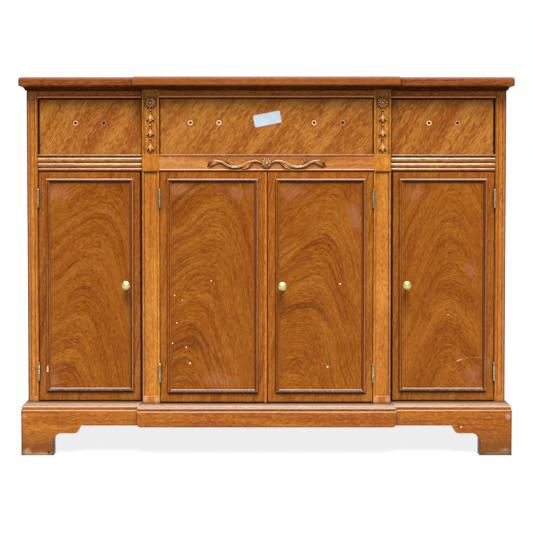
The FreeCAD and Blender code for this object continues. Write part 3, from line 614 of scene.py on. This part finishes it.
def make_door_frames():
    for door in DOORS:
        low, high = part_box("door_frame_" + door)
        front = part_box("door_" + door)[0].y
        rows = []
        for reach, rise in FRAME_PROFILE:
            inset = reach * MM
            y = front - rise * MM
            rows.append([(low.x + inset, y, low.z + inset), (high.x - inset, y, low.z + inset),
                         (high.x - inset, y, high.z - inset), (low.x + inset, y, high.z - inset)])
        upright, level = frame_materials(door)
        piece = make_piece("applied_frame_" + door, rows + rows[:1], upright, body=door + "_door",
                           smooth=50, caps=False)
        piece.data.materials.append(level)
        for face in piece.data.polygons:
            xs = [piece.data.vertices[v].co.x for v in face.vertices]
            zs = [piece.data.vertices[v].co.z for v in face.vertices]
            if max(xs) - min(xs) > max(zs) - min(zs):
                face.material_index = 1
        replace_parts(piece, "door_frame_" + door)


# Carving, in millimetres from a place on the ground; -Y is up from it
CARVING_RELIEF = 1.32
RIBBON_STEPS = 10
SUNK = 0.6
ROSETTE_RINGS = (0.02, 0.08, 0.14, 0.19, 0.225, 0.26, 0.32, 0.42, 0.54, 0.66, 0.78, 0.88, 0.95, 0.99, 1.0)
PETALS = 12
ROSETTE_HEIGHT = 4.2


def curve(points, count):
    """Points on a smooth curve through the given ones."""
    out = []
    ends = [points[0]] + list(points) + [points[-1]]
    for index in range(count + 1):
        t = index / count * (len(points) - 1)
        k = min(int(t), len(points) - 2)
        f = t - k
        a, b, c, d = ends[k:k + 4]
        out.append(tuple(0.5 * (2 * b[i] + (c[i] - a[i]) * f + (2 * a[i] - 5 * b[i] + 4 * c[i] - d[i]) * f ** 2
                                + (3 * b[i] - a[i] - 3 * c[i] + d[i]) * f ** 3) for i in (0, 1)))
    return out


def sample(values, t):
    """A value between those of a list, which are spread evenly from t = 0 to t = 1."""
    place = t * (len(values) - 1)
    low = min(int(place), len(values) - 2)
    share = place - low
    share = share * share * (3 - 2 * share)
    return values[low] * (1 - share) + values[low + 1] * share


def ribbon_rows(points, widths, heights, groove, count):
    """Rows of a carved strip that follows a curve. widths and heights are given at even steps;
    a groove runs along the middle of the strip."""
    path = curve(points, count)
    rows = []
    for index, (x, z) in enumerate(path):
        t = index / count
        before = path[max(index - 1, 0)]
        after = path[min(index + 1, count)]
        tx, tz = after[0] - before[0], after[1] - before[1]
        length = hypot(tx, tz)
        nx, nz = -tz / length, tx / length
        half = sample(widths, t) / 2
        tall = sample(heights, t) * CARVING_RELIEF
        row = []
        for j in range(RIBBON_STEPS + 1):
            s = -1 + 2 * j / RIBBON_STEPS
            dome = max(1 - abs(s) ** 2.4, 0) ** 0.5
            dip = groove * exp(-(s / 0.28) ** 2)
            row.append((x + nx * s * half, -tall * dome * (1 - dip), z + nz * s * half))
        row += [(x + s * nx * half, SUNK, z + s * nz * half) for s in (0.9, -0.9)]
        rows.append(row)
    return rows


def rosette_rows(radius):
    """Rings of a carved flower with cupped petals, a dark ring inside and a domed button."""
    rows = []
    for level in ROSETTE_RINGS:
        ring = []
        for index in range(PETALS * 12):
            angle = 2 * pi * index / (PETALS * 12) + pi / 12
            lobe = abs(cos(angle * PETALS / 2))
            edge = 0.76 + 0.24 * lobe ** 0.45
            reach = radius * level * (edge if level > 0.3 else 1)
            if level < 0.2:
                tall = 3.1 + 1.5 * sqrt(max(1 - (level / 0.2) ** 2, 0))
            elif level < 0.3:
                tall = 2.0
            else:
                out = (level - 0.3) / 0.7
                body = sin(pi * min(out * 0.62 + 0.3, 1)) ** 0.7
                cup = 1 - 0.28 * exp(-((out - 0.55) / 0.22) ** 2) * lobe ** 3
                tall = 0.6 + 4.6 * body * (lobe ** 0.7) * cup
            ring.append((reach * cos(angle), -tall, reach * sin(angle)))
        rows.append(ring)
    rows.append([(x * 0.98, 0.5, z * 0.98) for x, y, z in rows[-1]])
    return rows


def bead_rows(radius, height, squash=1.0):
    rows = []
    for step in range(7):
        angle = pi / 2 * step / 6
        reach = radius * max(sin(angle), 0.02)
        rows.append([(reach * c, -height * cos(angle), reach * s * squash) for c, s in circle(20)])
    rows.append([(x, 0.5, z) for x, y, z in rows[-1]])
    return rows


class Carving:
    """A carving that grows shape by shape about a place on the ground of a node."""

    def __init__(self, node, x, z, material, pale):
        self.node, self.x, self.z, self.material, self.pale = node, x, z, material, pale
        self.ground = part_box(node)[1].y / MM
        self.parts = []

    def place(self, rows, drop=0, flip=1, lift=0):
        """Rows in millimetres, moved to their place on the cabinet, mirrored where flip is -1."""
        return [[(self.x + flip * x * MM, (self.ground - lift + y) * MM, self.z - drop * MM + z * MM)
                 for x, y, z in row] for row in rows]

    def add(self, rows, drop=0, flip=1):
        self.parts.append(make_piece("carving", self.place(rows, drop, flip), self.material, smooth=50))

    def finish(self, name, pin_name, pin_radius):
        """Joins the shapes, and sets the bright head of a pin in the middle of the rosette."""
        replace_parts(joined(name, self.parts), self.node)
        make_piece(pin_name, self.place(bead_rows(pin_radius, 1.1), lift=ROSETTE_HEIGHT), self.pale, smooth=50)


# How far down each bell flower starts, its height, and the widths at the tip of its middle petal
BELLS = ((23.9, 24.0, (7.2, 4.6)), (61.3, 22.7, (7.2, 4.6)), (94.8, 26.6, (6.4, 0.8)))
BEADS = (18.0, 55.4, 88.7)


def make_flower_drops(material, pale):
    for side in ("left", "right"):
        low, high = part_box("flower_drop_" + side)
        drop = Carving("flower_drop_" + side, (low.x + high.x) / 2, high.z - 14.2 * MM, material, pale)
        drop.add(rosette_rows(14.2))
        for place in BEADS:
            drop.add(bead_rows(3.3, 4.2), place)
        for place, tall, tip in BELLS:
            # a small collar, the middle petal, and the two side petals that turn out
            drop.add(bead_rows(3.6, 3.6, 0.62), place + 1.0)
            path = [(0, -1), (0, -tall * 0.4), (0, -tall * 0.8), (0, -tall)]
            drop.add(ribbon_rows(path, [3.0, 4.4, 8.2, *tip], [2.2, 3.4, 4.6, 4.2, 1.4], 0.1, 20), place)
            path = [(1.2, -2), (2.8, -tall * 0.36), (5.0, -tall * 0.58), (8.2, -tall * 0.74), (10.0, -tall * 0.68)]
            for flip in (-1, 1):
                drop.add(ribbon_rows(path, [2.2, 3.0, 4.2, 3.6, 0.7], [2.0, 3.2, 3.8, 3.4, 1.4], 0.12, 20),
                         place, flip)
        drop.finish("carved_drop_" + side, "rosette_pin_" + side, 1.7)


# The stem and leaves of one half of the vine: points, widths, heights, depth of the groove and steps
VINE = (
    ([(10, 0), (16, 3), (28.1, 5.6), (43.8, 2.4), (59.5, -6), (77.2, -9.6), (92.9, -6.3), (108.6, 2),
      (122.4, 5.2), (134, 2.2), (146, -8)],
     [3.6, 4.6, 5.4, 6, 6.4, 6.8, 6.4, 5.6, 5.6, 4.6, 0.9],
     [3, 3.6, 3.8, 3.8, 4, 4, 4, 3.8, 3.6, 3, 1.2], 0.34, 90),
    ([(30, 3.2), (40, -2.2), (48, -8.4), (56.5, -11.8), (62, -12.4)],
     [2.4, 7, 9.6, 8.8, 1.2], [2.2, 3.2, 3.6, 3, 1.4], 0.4, 32),
    ([(71, -9.6), (80, -6.6), (86.5, 0.4), (92, 7), (96.5, 9.6)],
     [2.6, 5.8, 7.8, 6.4, 1], [2.6, 3.2, 3.6, 3.2, 1.2], 0.36, 32),
    ([(84, -6.5), (90.5, -0.6), (96, 5), (100.5, 6.2)], [2.2, 5, 5.4, 0.9], [2.2, 2.9, 2.9, 1.2], 0.3, 24),
    ([(112, 2.6), (122, 1.4), (132, -2), (139, -7.4), (142, -7.6)],
     [2.2, 5.8, 7, 5.4, 0.9], [2.4, 3, 3.2, 2.6, 1.2], 0.34, 28),
    ([(118, 6.6), (128, 7.2), (137, 4), (144, -1)], [1.4, 2.6, 2.8, 0.8], [2.4, 3, 2.6, 1], 0, 24))


def make_vine(material, pale):
    low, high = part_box("vine_carving")
    vine = Carving("vine_carving", 0.0, (low.z + high.z) / 2, material, pale)
    vine.add(rosette_rows(13.6))
    for flip in (-1, 1):
        for leaf in VINE:
            vine.add(ribbon_rows(*leaf), flip=flip)
    vine.finish("carved_vine", "rosette_pin_middle", 1.8)


# Hinges: five knuckles, of which the post has three, on a barrel of the solids' size. In millimetres.
HINGE_AXIS = {joint["child"]: Vector(joint["pos_m"]) for joint in frame["joints"] if joint["type"] == "hinge"}
HINGE_LENGTH = 45.0
HINGE_FOOT_MARGIN = 50.5
HINGE_HEAD_MARGIN = 42.5
KNUCKLES = 5
PITCH = HINGE_LENGTH / KNUCKLES
KNUCKLE_LENGTH = 8.7
KNUCKLE = ((2.45, 0.0), (2.8, 0.35), (2.8, 8.35), (2.45, KNUCKLE_LENGTH))
LEAF = 0.9
LEAF_DEPTH = 14.0
TIP = ((1.9, -0.2), (1.9, 0.1), (1.6, 0.6), (1.0, 0.95), (0.03, 1.1))
SCREW = ((0.0, 0.02), (0.05, 0.02), (0.25, 2.3), (0.12, 2.6), (-0.3, 2.6))
STRIKE_INSET = 40.0


def screw_rows(x, y, z, facing):
    """A flush countersunk head on a leaf that faces along X."""
    return [[(x + facing * reach * MM, y + radius * MM * c, z + radius * MM * s) for c, s in circle(20)]
            for reach, radius in SCREW]


def make_hinges(material, steel):
    case_parts = []
    for door in DOORS:
        axis = HINGE_AXIS[door + "_door"]
        low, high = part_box("door_" + door)
        front = low.y
        side = 1 if door in ("left", "centre_left") else -1
        door_parts = []
        for level in (low.z / MM + HINGE_FOOT_MARGIN, high.z / MM - HINGE_HEAD_MARGIN - HINGE_LENGTH):
            for first, parts, body in ((0, case_parts, "case"), (1, door_parts, door + "_door")):
                toward = side if first else -side
                near = axis.x + toward * MM
                x0, x1 = sorted((near, near + toward * LEAF * MM))
                far_corner = (x1, front + LEAF_DEPTH * MM, (level + HINGE_LENGTH) * MM)
                shapes = [box_rows((x0, front, level * MM), far_corner)]
                for index in range(first, KNUCKLES, 2):
                    foot = level + index * PITCH + (PITCH - KNUCKLE_LENGTH) / 2
                    shapes.append(post_rows([(radius, foot + reach) for radius, reach in KNUCKLE], axis, 28))
                    shapes.append(box_rows((x0, axis.y, foot * MM), (x1, front + MM, (foot + KNUCKLE_LENGTH) * MM)))
                for share, depth in ((0.2, 9.5), (0.5, 4.5), (0.8, 9.5)):
                    shapes.append(screw_rows(near, front + depth * MM, (level + share * HINGE_LENGTH) * MM, -toward))
                parts += [make_piece("hinge", rows, material, body) for rows in shapes]
            for z, rise in ((level, -1), (level + HINGE_LENGTH, 1)):
                tip = post_rows([(radius, z + rise * reach) for radius, reach in TIP], axis, 20)
                case_parts.append(make_piece("hinge", tip, material, "case"))
        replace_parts(joined("hinge_leaves_" + door, door_parts), "door_fittings_" + door)
        make_strike(door, high.x - STRIKE_INSET * MM if side > 0 else low.x + STRIKE_INSET * MM, steel)
    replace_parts(joined("hinge_leaves_case", case_parts), "case_hinge_leaves")


def make_strike(door, x, steel):
    """The plate that the magnet holds, at the head of a door's back."""
    low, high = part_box("door_" + door)
    back = low.y + 18 * MM
    rows = box_rows((x - 15 * MM, back, high.z - 11 * MM), (x + 15 * MM, back + 1.2 * MM, high.z))
    strike = make_piece("strike_" + door, rows, steel, body=door + "_door")
    modifier = strike.modifiers.new("edge", "BEVEL")
    modifier.width = 0.3 * MM
    modifier.segments = 2


def make_tag(material):
    """A blank paper label stuck on the middle drawer, with its corners a little lifted."""
    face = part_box("drawer_front_centre")[0].y
    centre = Vector((2.0 * MM, 0, 829.5 * MM + MARKS_LIFT))
    turn = radians(11.2)
    width, height, corner = 67.0, 30.0, 3.0
    outline = []
    for cx, cz, start in ((1, 1, 0), (-1, 1, 90), (-1, -1, 180), (1, -1, 270)):
        outline += arc(start, start + 90, (cx * (width / 2 - corner), cz * (height / 2 - corner)), corner, 6)
    rows = []
    for share, lift in ((1.0, 0.05), (1.0, 0.22), (0.96, 0.26), (0.6, 0.24), (0.02, 0.24)):
        row = []
        for x, z in outline:
            x, z = x * share, z * share
            curl = 0.9 * max(abs(x) / (width / 2) - 0.55, 0) ** 2
            row.append((centre.x + (x * cos(turn) - z * sin(turn)) * MM, face - (lift + curl) * MM,
                        centre.z + (x * sin(turn) + z * cos(turn)) * MM))
        rows.append(row)
    make_piece("paper_tag", rows, material, body="centre_drawer", smooth=50)


# The wood of each part, with its marks
# near-black painted shade for the gaps between parts
GAP_SHADE = (0.01, 0.003, 0.001)
PULL_LEVEL = 0.8205
FLUTE_FOOT = 0.1425
PILASTER_FOOT = 0.137
LOWER_PANEL_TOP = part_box("reeded_rail_left")[0].z
UPPER_PANEL_FOOT = LOWER_PANEL_TOP + 42 * MM
TOP_STEP_REACH = 19.5
FOOT_REACH = 154


def dress(material, *names):
    for name in names:
        if not nodes[name].data.materials:
            nodes[name].data.materials.append(material)
        for slot in nodes[name].material_slots:
            slot.material = material


def stile_wood():
    low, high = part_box("end_stile_left")
    outer = abs(low.x)
    flute = ("z", low.z + 13 * MM, high.z - 22 * MM)
    marks = []
    # painted shade on the rounded outer edge, along the flute's edges and the inner edge, at the flute's foot, and
    # under the top
    for side in (-1, 1):
        for near, far, colour, strength, within in (
                (-1, 5, (0.052, 0.018, 0.008), 0.82, None), (6, 8.6, (0.16, 0.06, 0.022), 0.6, None),
                (8.6, 10.4, (0.045, 0.012, 0.002), 0.55, flute), (19.6, 22.4, (0.05, 0.013, 0.002), 0.65, flute),
                (25.4, 30, (0.04, 0.011, 0.002), 0.65, None)):
            marks.append(strip("x", side * outer, -side * near, -side * far, colour, strength, within=within))
        marks.append(spot(side * (outer - 14.3 * MM), FLUTE_FOOT, 5.5, (0.045, 0.013, 0.003), 0.7, soft=0.5))
        marks.append(strip("z", high.z, -3, 1, (0.02, 0.006, 0.001), 0.8))
    return wood("mahogany_upright", upright_grain, (1.97, 2.32, 4), contrast=0.7, fleck=0.52, grime_and_shade=1,
                marks=marks)


def pilaster_wood():
    marks = []
    for name in ("pilaster_left", "pilaster_right"):
        low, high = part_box(name)
        # painted shade along the edges of the two sunk panels, and under the block between them
        for foot, head, strength in ((low.z + 16 * MM, LOWER_PANEL_TOP, 0.36),
                                     (UPPER_PANEL_FOOT, high.z - 4 * MM, 0.3)):
            for place in (low.x + 5.4 * MM, high.x - 5.4 * MM):
                marks.append(strip("x", place, -1.4, 1.4, (0.045, 0.012, 0.003), strength, within=("z", foot, head)))
            for level in (foot, head):
                marks.append(strip("z", level, -1.3, 1.3, (0.035, 0.009, 0.002), strength,
                                   within=("x", low.x + 5.2 * MM, high.x - 5.2 * MM)))
        marks.append(strip("z", LOWER_PANEL_TOP, -4, 1, (0.03, 0.008, 0.002), 0.35))
        for x in (low.x + 6 * MM, high.x - 6 * MM):
            marks.append(bloom(x, PILASTER_FOOT, 9, 12, (0.34, 0.2, 0.13), 0.3))
        outer, inward = (low.x, 1) if name == "pilaster_left" else (high.x, -1)
        # painted shade along the outer edge, by the gap beside the wing's door
        marks.append(strip("x", outer, -inward, 1.5 * inward, GAP_SHADE, 0.85))
    return wood("mahogany_pilaster", upright_grain, (1.84, 2.28, 3.6), bands=34, contrast=0.75, seed=4,
                fleck=0.52, grime_and_shade=1, marks=marks)


def fascia_wood():
    low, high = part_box("top_rails")
    # a painted highlight on the bead along the foot, and painted shade under the top
    return wood("mahogany_fascia", level_grain, (1.62, 1.48, 1.2), seed=14,
                marks=[strip("z", low.z, 0.6, 5, (0.54, 0.17, 0.04), 0.85),
                       strip("z", high.z, -2.6, 1, GAP_SHADE, 0.85)])


def top_wood():
    low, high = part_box("top_board")
    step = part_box("pilaster_right")[1].x / MM + TOP_STEP_REACH
    marks = [strip("x", 0, -step, step, (0.22, 0.07, 0.012), 0.3, within=("y", low.y - MM, low.y + 10 * MM)),
             strip("z", high.z, -5, 1, (0.045, 0.014, 0.004), 0.74, ragged=2)]
    for side in (-1, 1):
        # painted shadow beside each step of the front
        marks.append(strip("x", side * step * MM, -side, 4.5 * side, GAP_SHADE, 0.75,
                           within=("y", low.y - MM, low.y + 20 * MM)))
        marks.append(strip("x", side * high.x, -3.5 * side, side, (0.03, 0.009, 0.002), 0.6))
    return wood("mahogany_top", level_grain, (0.8, 0.66, 1.1), bands=24, contrast=1.9, seed=12, wear=2.4,
                roughness=0.46, shine=(0.08, 0), fleck=1.3, marks=marks)


def plinth_wood():
    low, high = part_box("plinth_centre")
    end = abs(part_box("plinth_wing_left")[0].x)
    scuff = (0.33, 0.24, 0.15)
    marks = [strip("z", 0, -1, 28, (0.07, 0.02, 0.003), 0.58, ragged=20),
             strip("z", 0, 14, low.z / MM - 18, (0.07, 0.02, 0.003), 0.38, ragged=20),
             # painted shade along the lower edge between the feet, and a painted highlight along the top arris
             strip("z", low.z, -1.5, 2.2, (0.03, 0.009, 0.002), 0.75,
                   within=("x", FOOT_REACH * MM - end, end - FOOT_REACH * MM)),
             strip("z", high.z, -2.2, 1, (0.3, 0.19, 0.11), 0.5)]
    for side in (-1, 1):
        marks += [strip("x", side * high.x, -1.4, 1.4, (0.012, 0.004, 0.001), 0.8),
                  bloom(side * (end - 12 * MM), 0.004, 16, 12, scuff, 0.36),
                  bloom(side * (end - 50 * MM), 0, 34, 6, scuff, 0.36),
                  bloom(side * (end - 8 * MM), 0.094, 8, 9, scuff, 0.36),
                  strip("x", side * end, -3.2 * side, side, (0.034, 0.011, 0.003), 0.65),
                  spot(side * (end - 68 * MM), 0.005, 4, (0.01, 0.004, 0.002), 0.8),
                  strip("x", side * end, -81 * side, -77.5 * side, (0.02, 0.009, 0.003), 0.75,
                        within=("z", -MM, 42 * MM))]
    # the right foot stood in the wet, and has a plugged screw hole above it
    plug = end - 125 * MM
    marks += [strip("z", 0, -1, 12, (0.05, 0.027, 0.01), 0.72, ragged=5, within=("x", end - 84 * MM, end + MM)),
              spot(plug, 0.068, 9.5, (0.06, 0.016, 0.003), 0.5, soft=0.15, ring=7),
              spot(plug, 0.068, 2.2, (0.52, 0.38, 0.26), 0.85),
              # painted shade along the foot of the plinth at the floor
              strip("z", 0, -1, 2, (0.03, 0.01, 0.004), 0.75, ragged=2)]
    return wood("mahogany_plinth", level_grain, (1.3, 1.3, 1.2), bands=26, contrast=1.1, seed=15,
                wear=3.4, fleck=0.66, edge_reach=0.004, marks=marks)


def cap_wood():
    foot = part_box("base_moulding")[0].z
    wing_front, centre_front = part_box("door_left")[0].y / MM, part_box("door_centre_left")[0].y / MM
    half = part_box("pilaster_right")[1].x
    # painted shade in the quirk at the foot, a painted highlight on the crown, the flat top painted darker where it
    # faces the light, and painted shade under the doors
    marks = [strip("z", foot, -0.5, 2.4, (0.012, 0.004, 0.001), 0.95),
             strip("z", foot, 6.6, 10.4, (0.212, 0.145, 0.102), 0.92),
             strip("z", foot, 10, 40, (0.058, 0.03, 0.013), 0.92),
             strip("y", 0, wing_front - 3, 0, GAP_SHADE, 0.85),
             strip("y", 0, centre_front - 3.5, 0, GAP_SHADE, 0.85, within=("x", -half, half))]
    return wood("mahogany_cap", level_grain, (1.2, 1.12, 1.4), seed=17, wear=2.2, shine=(0.15, 0),
                grime_and_shade_reach=0.006, fleck=0.8, marks=marks)


def carved_wood(name, node):
    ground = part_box(node)[1].y
    # painted shade low on the carving near its ground, and a painted highlight on its crests
    marks = [strip("y", ground, -2.1, 1, (0.01, 0.003, 0.001), 0.94, ragged=0.4),
             strip("y", ground, -3.1, -2, (0.05, 0.014, 0.003), 0.55, ragged=0.6),
             strip("y", ground, -9, -3.9, (0.62, 0.36, 0.17), 0.26, ragged=0.6)]
    return wood("mahogany_carved_" + name, level_grain, (1.8, 2.1, 3), bands=60, contrast=0.6, seed=55,
                roughness=0.34, shine=(0.35, 0.1), grime_and_shade=0.9, grime_and_shade_reach=0.0025, fleck=0.3, marks=marks)


# Of each drawer front: its figure, the bolt holes with the strength of their rings, and the seed
DRAWERS = {
    "left": (slanted_grain(58, 0.9, -0.4), [(-0.473, 0.55), (-0.403, 0.15)], 21),
    "centre": (slanted_grain(50, 0.35, 0.1), [(-0.187, 0.75), (-0.117, 0.95), (0.117, 0.8), (0.187, 0.2)], 25),
    "right": (slanted_grain(57, 0.8, 0.47), [(0.403, 0.9), (0.473, 0.3)], 29)}


def drawer_wood(bay):
    figure, holes, seed = DRAWERS[bay]
    low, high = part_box("drawer_front_" + bay)
    # the stains that the plates of the pulls left, bare rings round the bolt holes, and painted shade in the holes
    marks = []
    for x, ring in holes:
        marks += [spot(x, PULL_LEVEL, 13.5, (0.13, 0.032, 0.006), 0.42, soft=0.25),
                  spot(x, PULL_LEVEL, 6.4, (0.62, 0.42, 0.24), ring, soft=0.2),
                  spot(x, PULL_LEVEL, 4.3, (0.006, 0.002, 0.001), 0.98, soft=0.2)]
    # painted shade in the gaps along the top and at the outer end
    marks.append(strip("z", high.z, -0.8 if bay == "centre" else -2, 1, GAP_SHADE, 0.85))
    if bay != "centre":
        outer, inward = (low.x, 1) if bay == "left" else (high.x, -1)
        marks.append(strip("x", outer, -inward, 2.4 * inward, GAP_SHADE, 0.85))
    if bay == "left":
        marks.append(spot(-0.4405, 0.7795, 5, (0.05, 0.014, 0.004), 0.7, soft=0.7))
    # painted shadow of the top's overhang across the head of the front
    marks.append(strip("z", high.z, -12, 1, (0.03, 0.009, 0.002), 0.2, ragged=14))
    return wood("drawer_veneer_" + bay, figure, (1.31, 1.5, 2.4), bands=34, contrast=1.6, seed=seed,
                wear=0.6, fleck=1.02, fleck_size=(0.014, 0.0015), marks=[on_face(marks, low.y)])


HAZE = (0.26, 0.125, 0.085)
PALE_SPECK = (0.62, 0.52, 0.4)
# Of each door: its figure, its pale specks with their radius, and its hazy patches with their width and height
DOOR_LOOKS = {
    "left": (flame_grain(-0.435, 0.22, 1.75, 0.045, 0.65), [(-0.5418, 0.2097, 3.4)],
             [(-0.525, 0.65, 40, 26), (-0.535, 0.185, 30, 30)]),
    "centre_left": (flame_grain(-0.145, 0.22, 1.75, 0.045, 0.65),
                    [(-0.2266, 0.3945, 1.5), (-0.2079, 0.3832, 1.4), (-0.2217, 0.327, 1.6), (-0.232, 0.2758, 1.5),
                     (-0.1983, 0.2662, 1.9), (-0.1892, 0.2268, 2), (-0.1367, 0.4312, 1.8)],
                    [(-0.215, 0.655, 40, 26), (-0.07, 0.65, 50, 20), (-0.11, 0.185, 60, 22)]),
    "centre_right": (flame_grain(0.13, 0.2, 1.75, 0.045, 0.6), [(0.1818, 0.4236, 1.9), (0.151, 0.2177, 2.2)],
                     [(0.06, 0.65, 40, 22), (0.215, 0.6, 26, 60)]),
    "right": (flame_grain(0.449, 0, 2.3, 0.04, -0.3), [(0.4515, 0.344, 1.4)],
              [(0.365, 0.645, 30, 26), (0.506, 0.455, 24, 24), (0.515, 0.195, 34, 30)])}
FRAME_INSET = 6


def door_wood(door):
    figure, specks, patches = DOOR_LOOKS[door]
    marks = [bloom(*patch, HAZE, 0.15) for patch in patches] + [spot(*speck, PALE_SPECK, 0.9) for speck in specks]
    if door == "centre_left":
        marks.append(spot(-0.182, 0.2029, 3.6, (0.03, 0.01, 0.004), 0.6, soft=0.6))
    if door == "right":
        marks += [scratch((0.4554, 0.2223), (0.5038, 0.239), 1.7, (0.46, 0.26, 0.16), 0.75),
                  scratch((0.504, 0.237), (0.542, 0.238), 0.8, (0.4, 0.22, 0.12), 0.6)]
    low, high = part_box("door_" + door)
    # painted shade in the gap at the foot, and on the wing doors beside the pilaster
    marks.append(strip("z", low.z, -1, 1.8, GAP_SHADE, 0.75))
    if door in ("left", "right"):
        inner, outward = (high.x, -1) if door == "left" else (low.x, 1)
        marks.append(strip("x", inner, -outward, 2.2 * outward, GAP_SHADE, 0.85))
    front = low.y
    low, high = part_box("door_frame_" + door)
    inset = FRAME_INSET * MM
    border = ((low.x + inset, high.x - inset, low.z + inset, high.z - inset), slanted_grain(80, 0, low.x),
              (1.2, 1.24, 1.6) if door.startswith("centre") else (1.06, 1.08, 1.6))
    return wood("flame_veneer_" + door, figure, (1, 0.99, 1.1), bands=52, border=border,
                seed=31 + DOORS.index(door) * 3.7, wear=0.8, lines=0.88, fleck=0.55, fleck_size=(0.01, 0.0013),
                shine=(0.08, 0.02), marks=[on_face(marks, front)])


def dress_outside():
    """Dresses the polished wood, and gives the materials of the two carvings."""
    dress(stile_wood(), "end_stile_left", "end_stile_right")
    dress(pilaster_wood(), "pilaster_left", "pilaster_right")
    dress(wood("mahogany_side", upright_grain, (1.1, 0.95, 0.85), bands=18, contrast=1, seed=19),
          "side_panel_left", "side_panel_right")
    dress(wood("mahogany_level", level_grain, (1.54, 2.02, 4), seed=9, shine=(0.34, 0.05), roughness=0.34),
          "reeded_rail_left", "reeded_rail_right")
    dress(fascia_wood(), "top_rails")
    dress(wood("mahogany_rail", level_grain, (1.78, 2.35, 10), seed=10, fleck=0.4, grime_and_shade=1,
               grime_and_shade_reach=0.007), "centre_rail")
    # the moulding under the top is tinted dark as painted shade
    dress(wood("mahogany_under_top", level_grain, (0.4, 0.26, 0.3), seed=11, shine=(0.03, 0),
               roughness=0.5), "top_moulding")
    dress(top_wood(), "top_board")
    dress(cap_wood(), "base_moulding", "bottom_board")
    dress(plinth_wood(), "plinth_wing_left", "plinth_wing_right", "plinth_centre")
    dress(wood("mahogany_plinth_side", deep_grain, (1.15, 0.98, 0.85), bands=26, contrast=0.9, seed=16,
               wear=1.6), "plinth_side_left", "plinth_side_right")
    for bay in BAYS:
        dress(drawer_wood(bay), "drawer_front_" + bay)
    for door in DOORS:
        dress(door_wood(door), "door_" + door)
    dress(wood("mahogany_bead", upright_grain, (1.7, 1.7, 1.3), bands=40, contrast=0.6, seed=51,
               shine=(0.3, 0.05), roughness=0.34), "meeting_bead")
    return carved_wood("drop", "flower_drop_left"), carved_wood("vine", "vine_carving")


def dress_inside():
    carcase = (0.3, 0.17, 0.08)
    dress(bare_wood("carcase_level", carcase, 2), "shelves", "dust_boards", "shelf_cleats", "drawer_guides",
          "drawer_kickers", "glue_blocks", "plinth_back")
    dress(bare_wood("carcase_upright", carcase, 5, upright_grain), "partition_left", "partition_right",
          "back_panel")
    lining = bare_wood("drawer_lining_wood", (0.46, 0.29, 0.14), 8, deep_grain)
    for bay in BAYS:
        dress(lining, "drawer_box_" + bay, "drawer_bottom_" + bay)
    dress(plastic_material(), "catch_magnets")


make_camera()
make_studio()
drop_wood, vine_wood = dress_outside()
dress_inside()
pale_metal = brass("pale_metal", (0.62, 0.6, 0.55), (0.35, 0.32, 0.28), 0.35, 0.4)
make_knobs(brass("brass_polished", (0.64, 0.59, 0.235), (0.46, 0.41, 0.145), 0.38, 0.2))
make_door_frames()
make_flower_drops(drop_wood, pale_metal)
make_vine(vine_wood, pale_metal)
make_hinges(brass("brass_aged", (0.48, 0.42, 0.25), (0.17, 0.13, 0.065), 0.3, 0.7), pale_metal)
make_tag(paper_material())
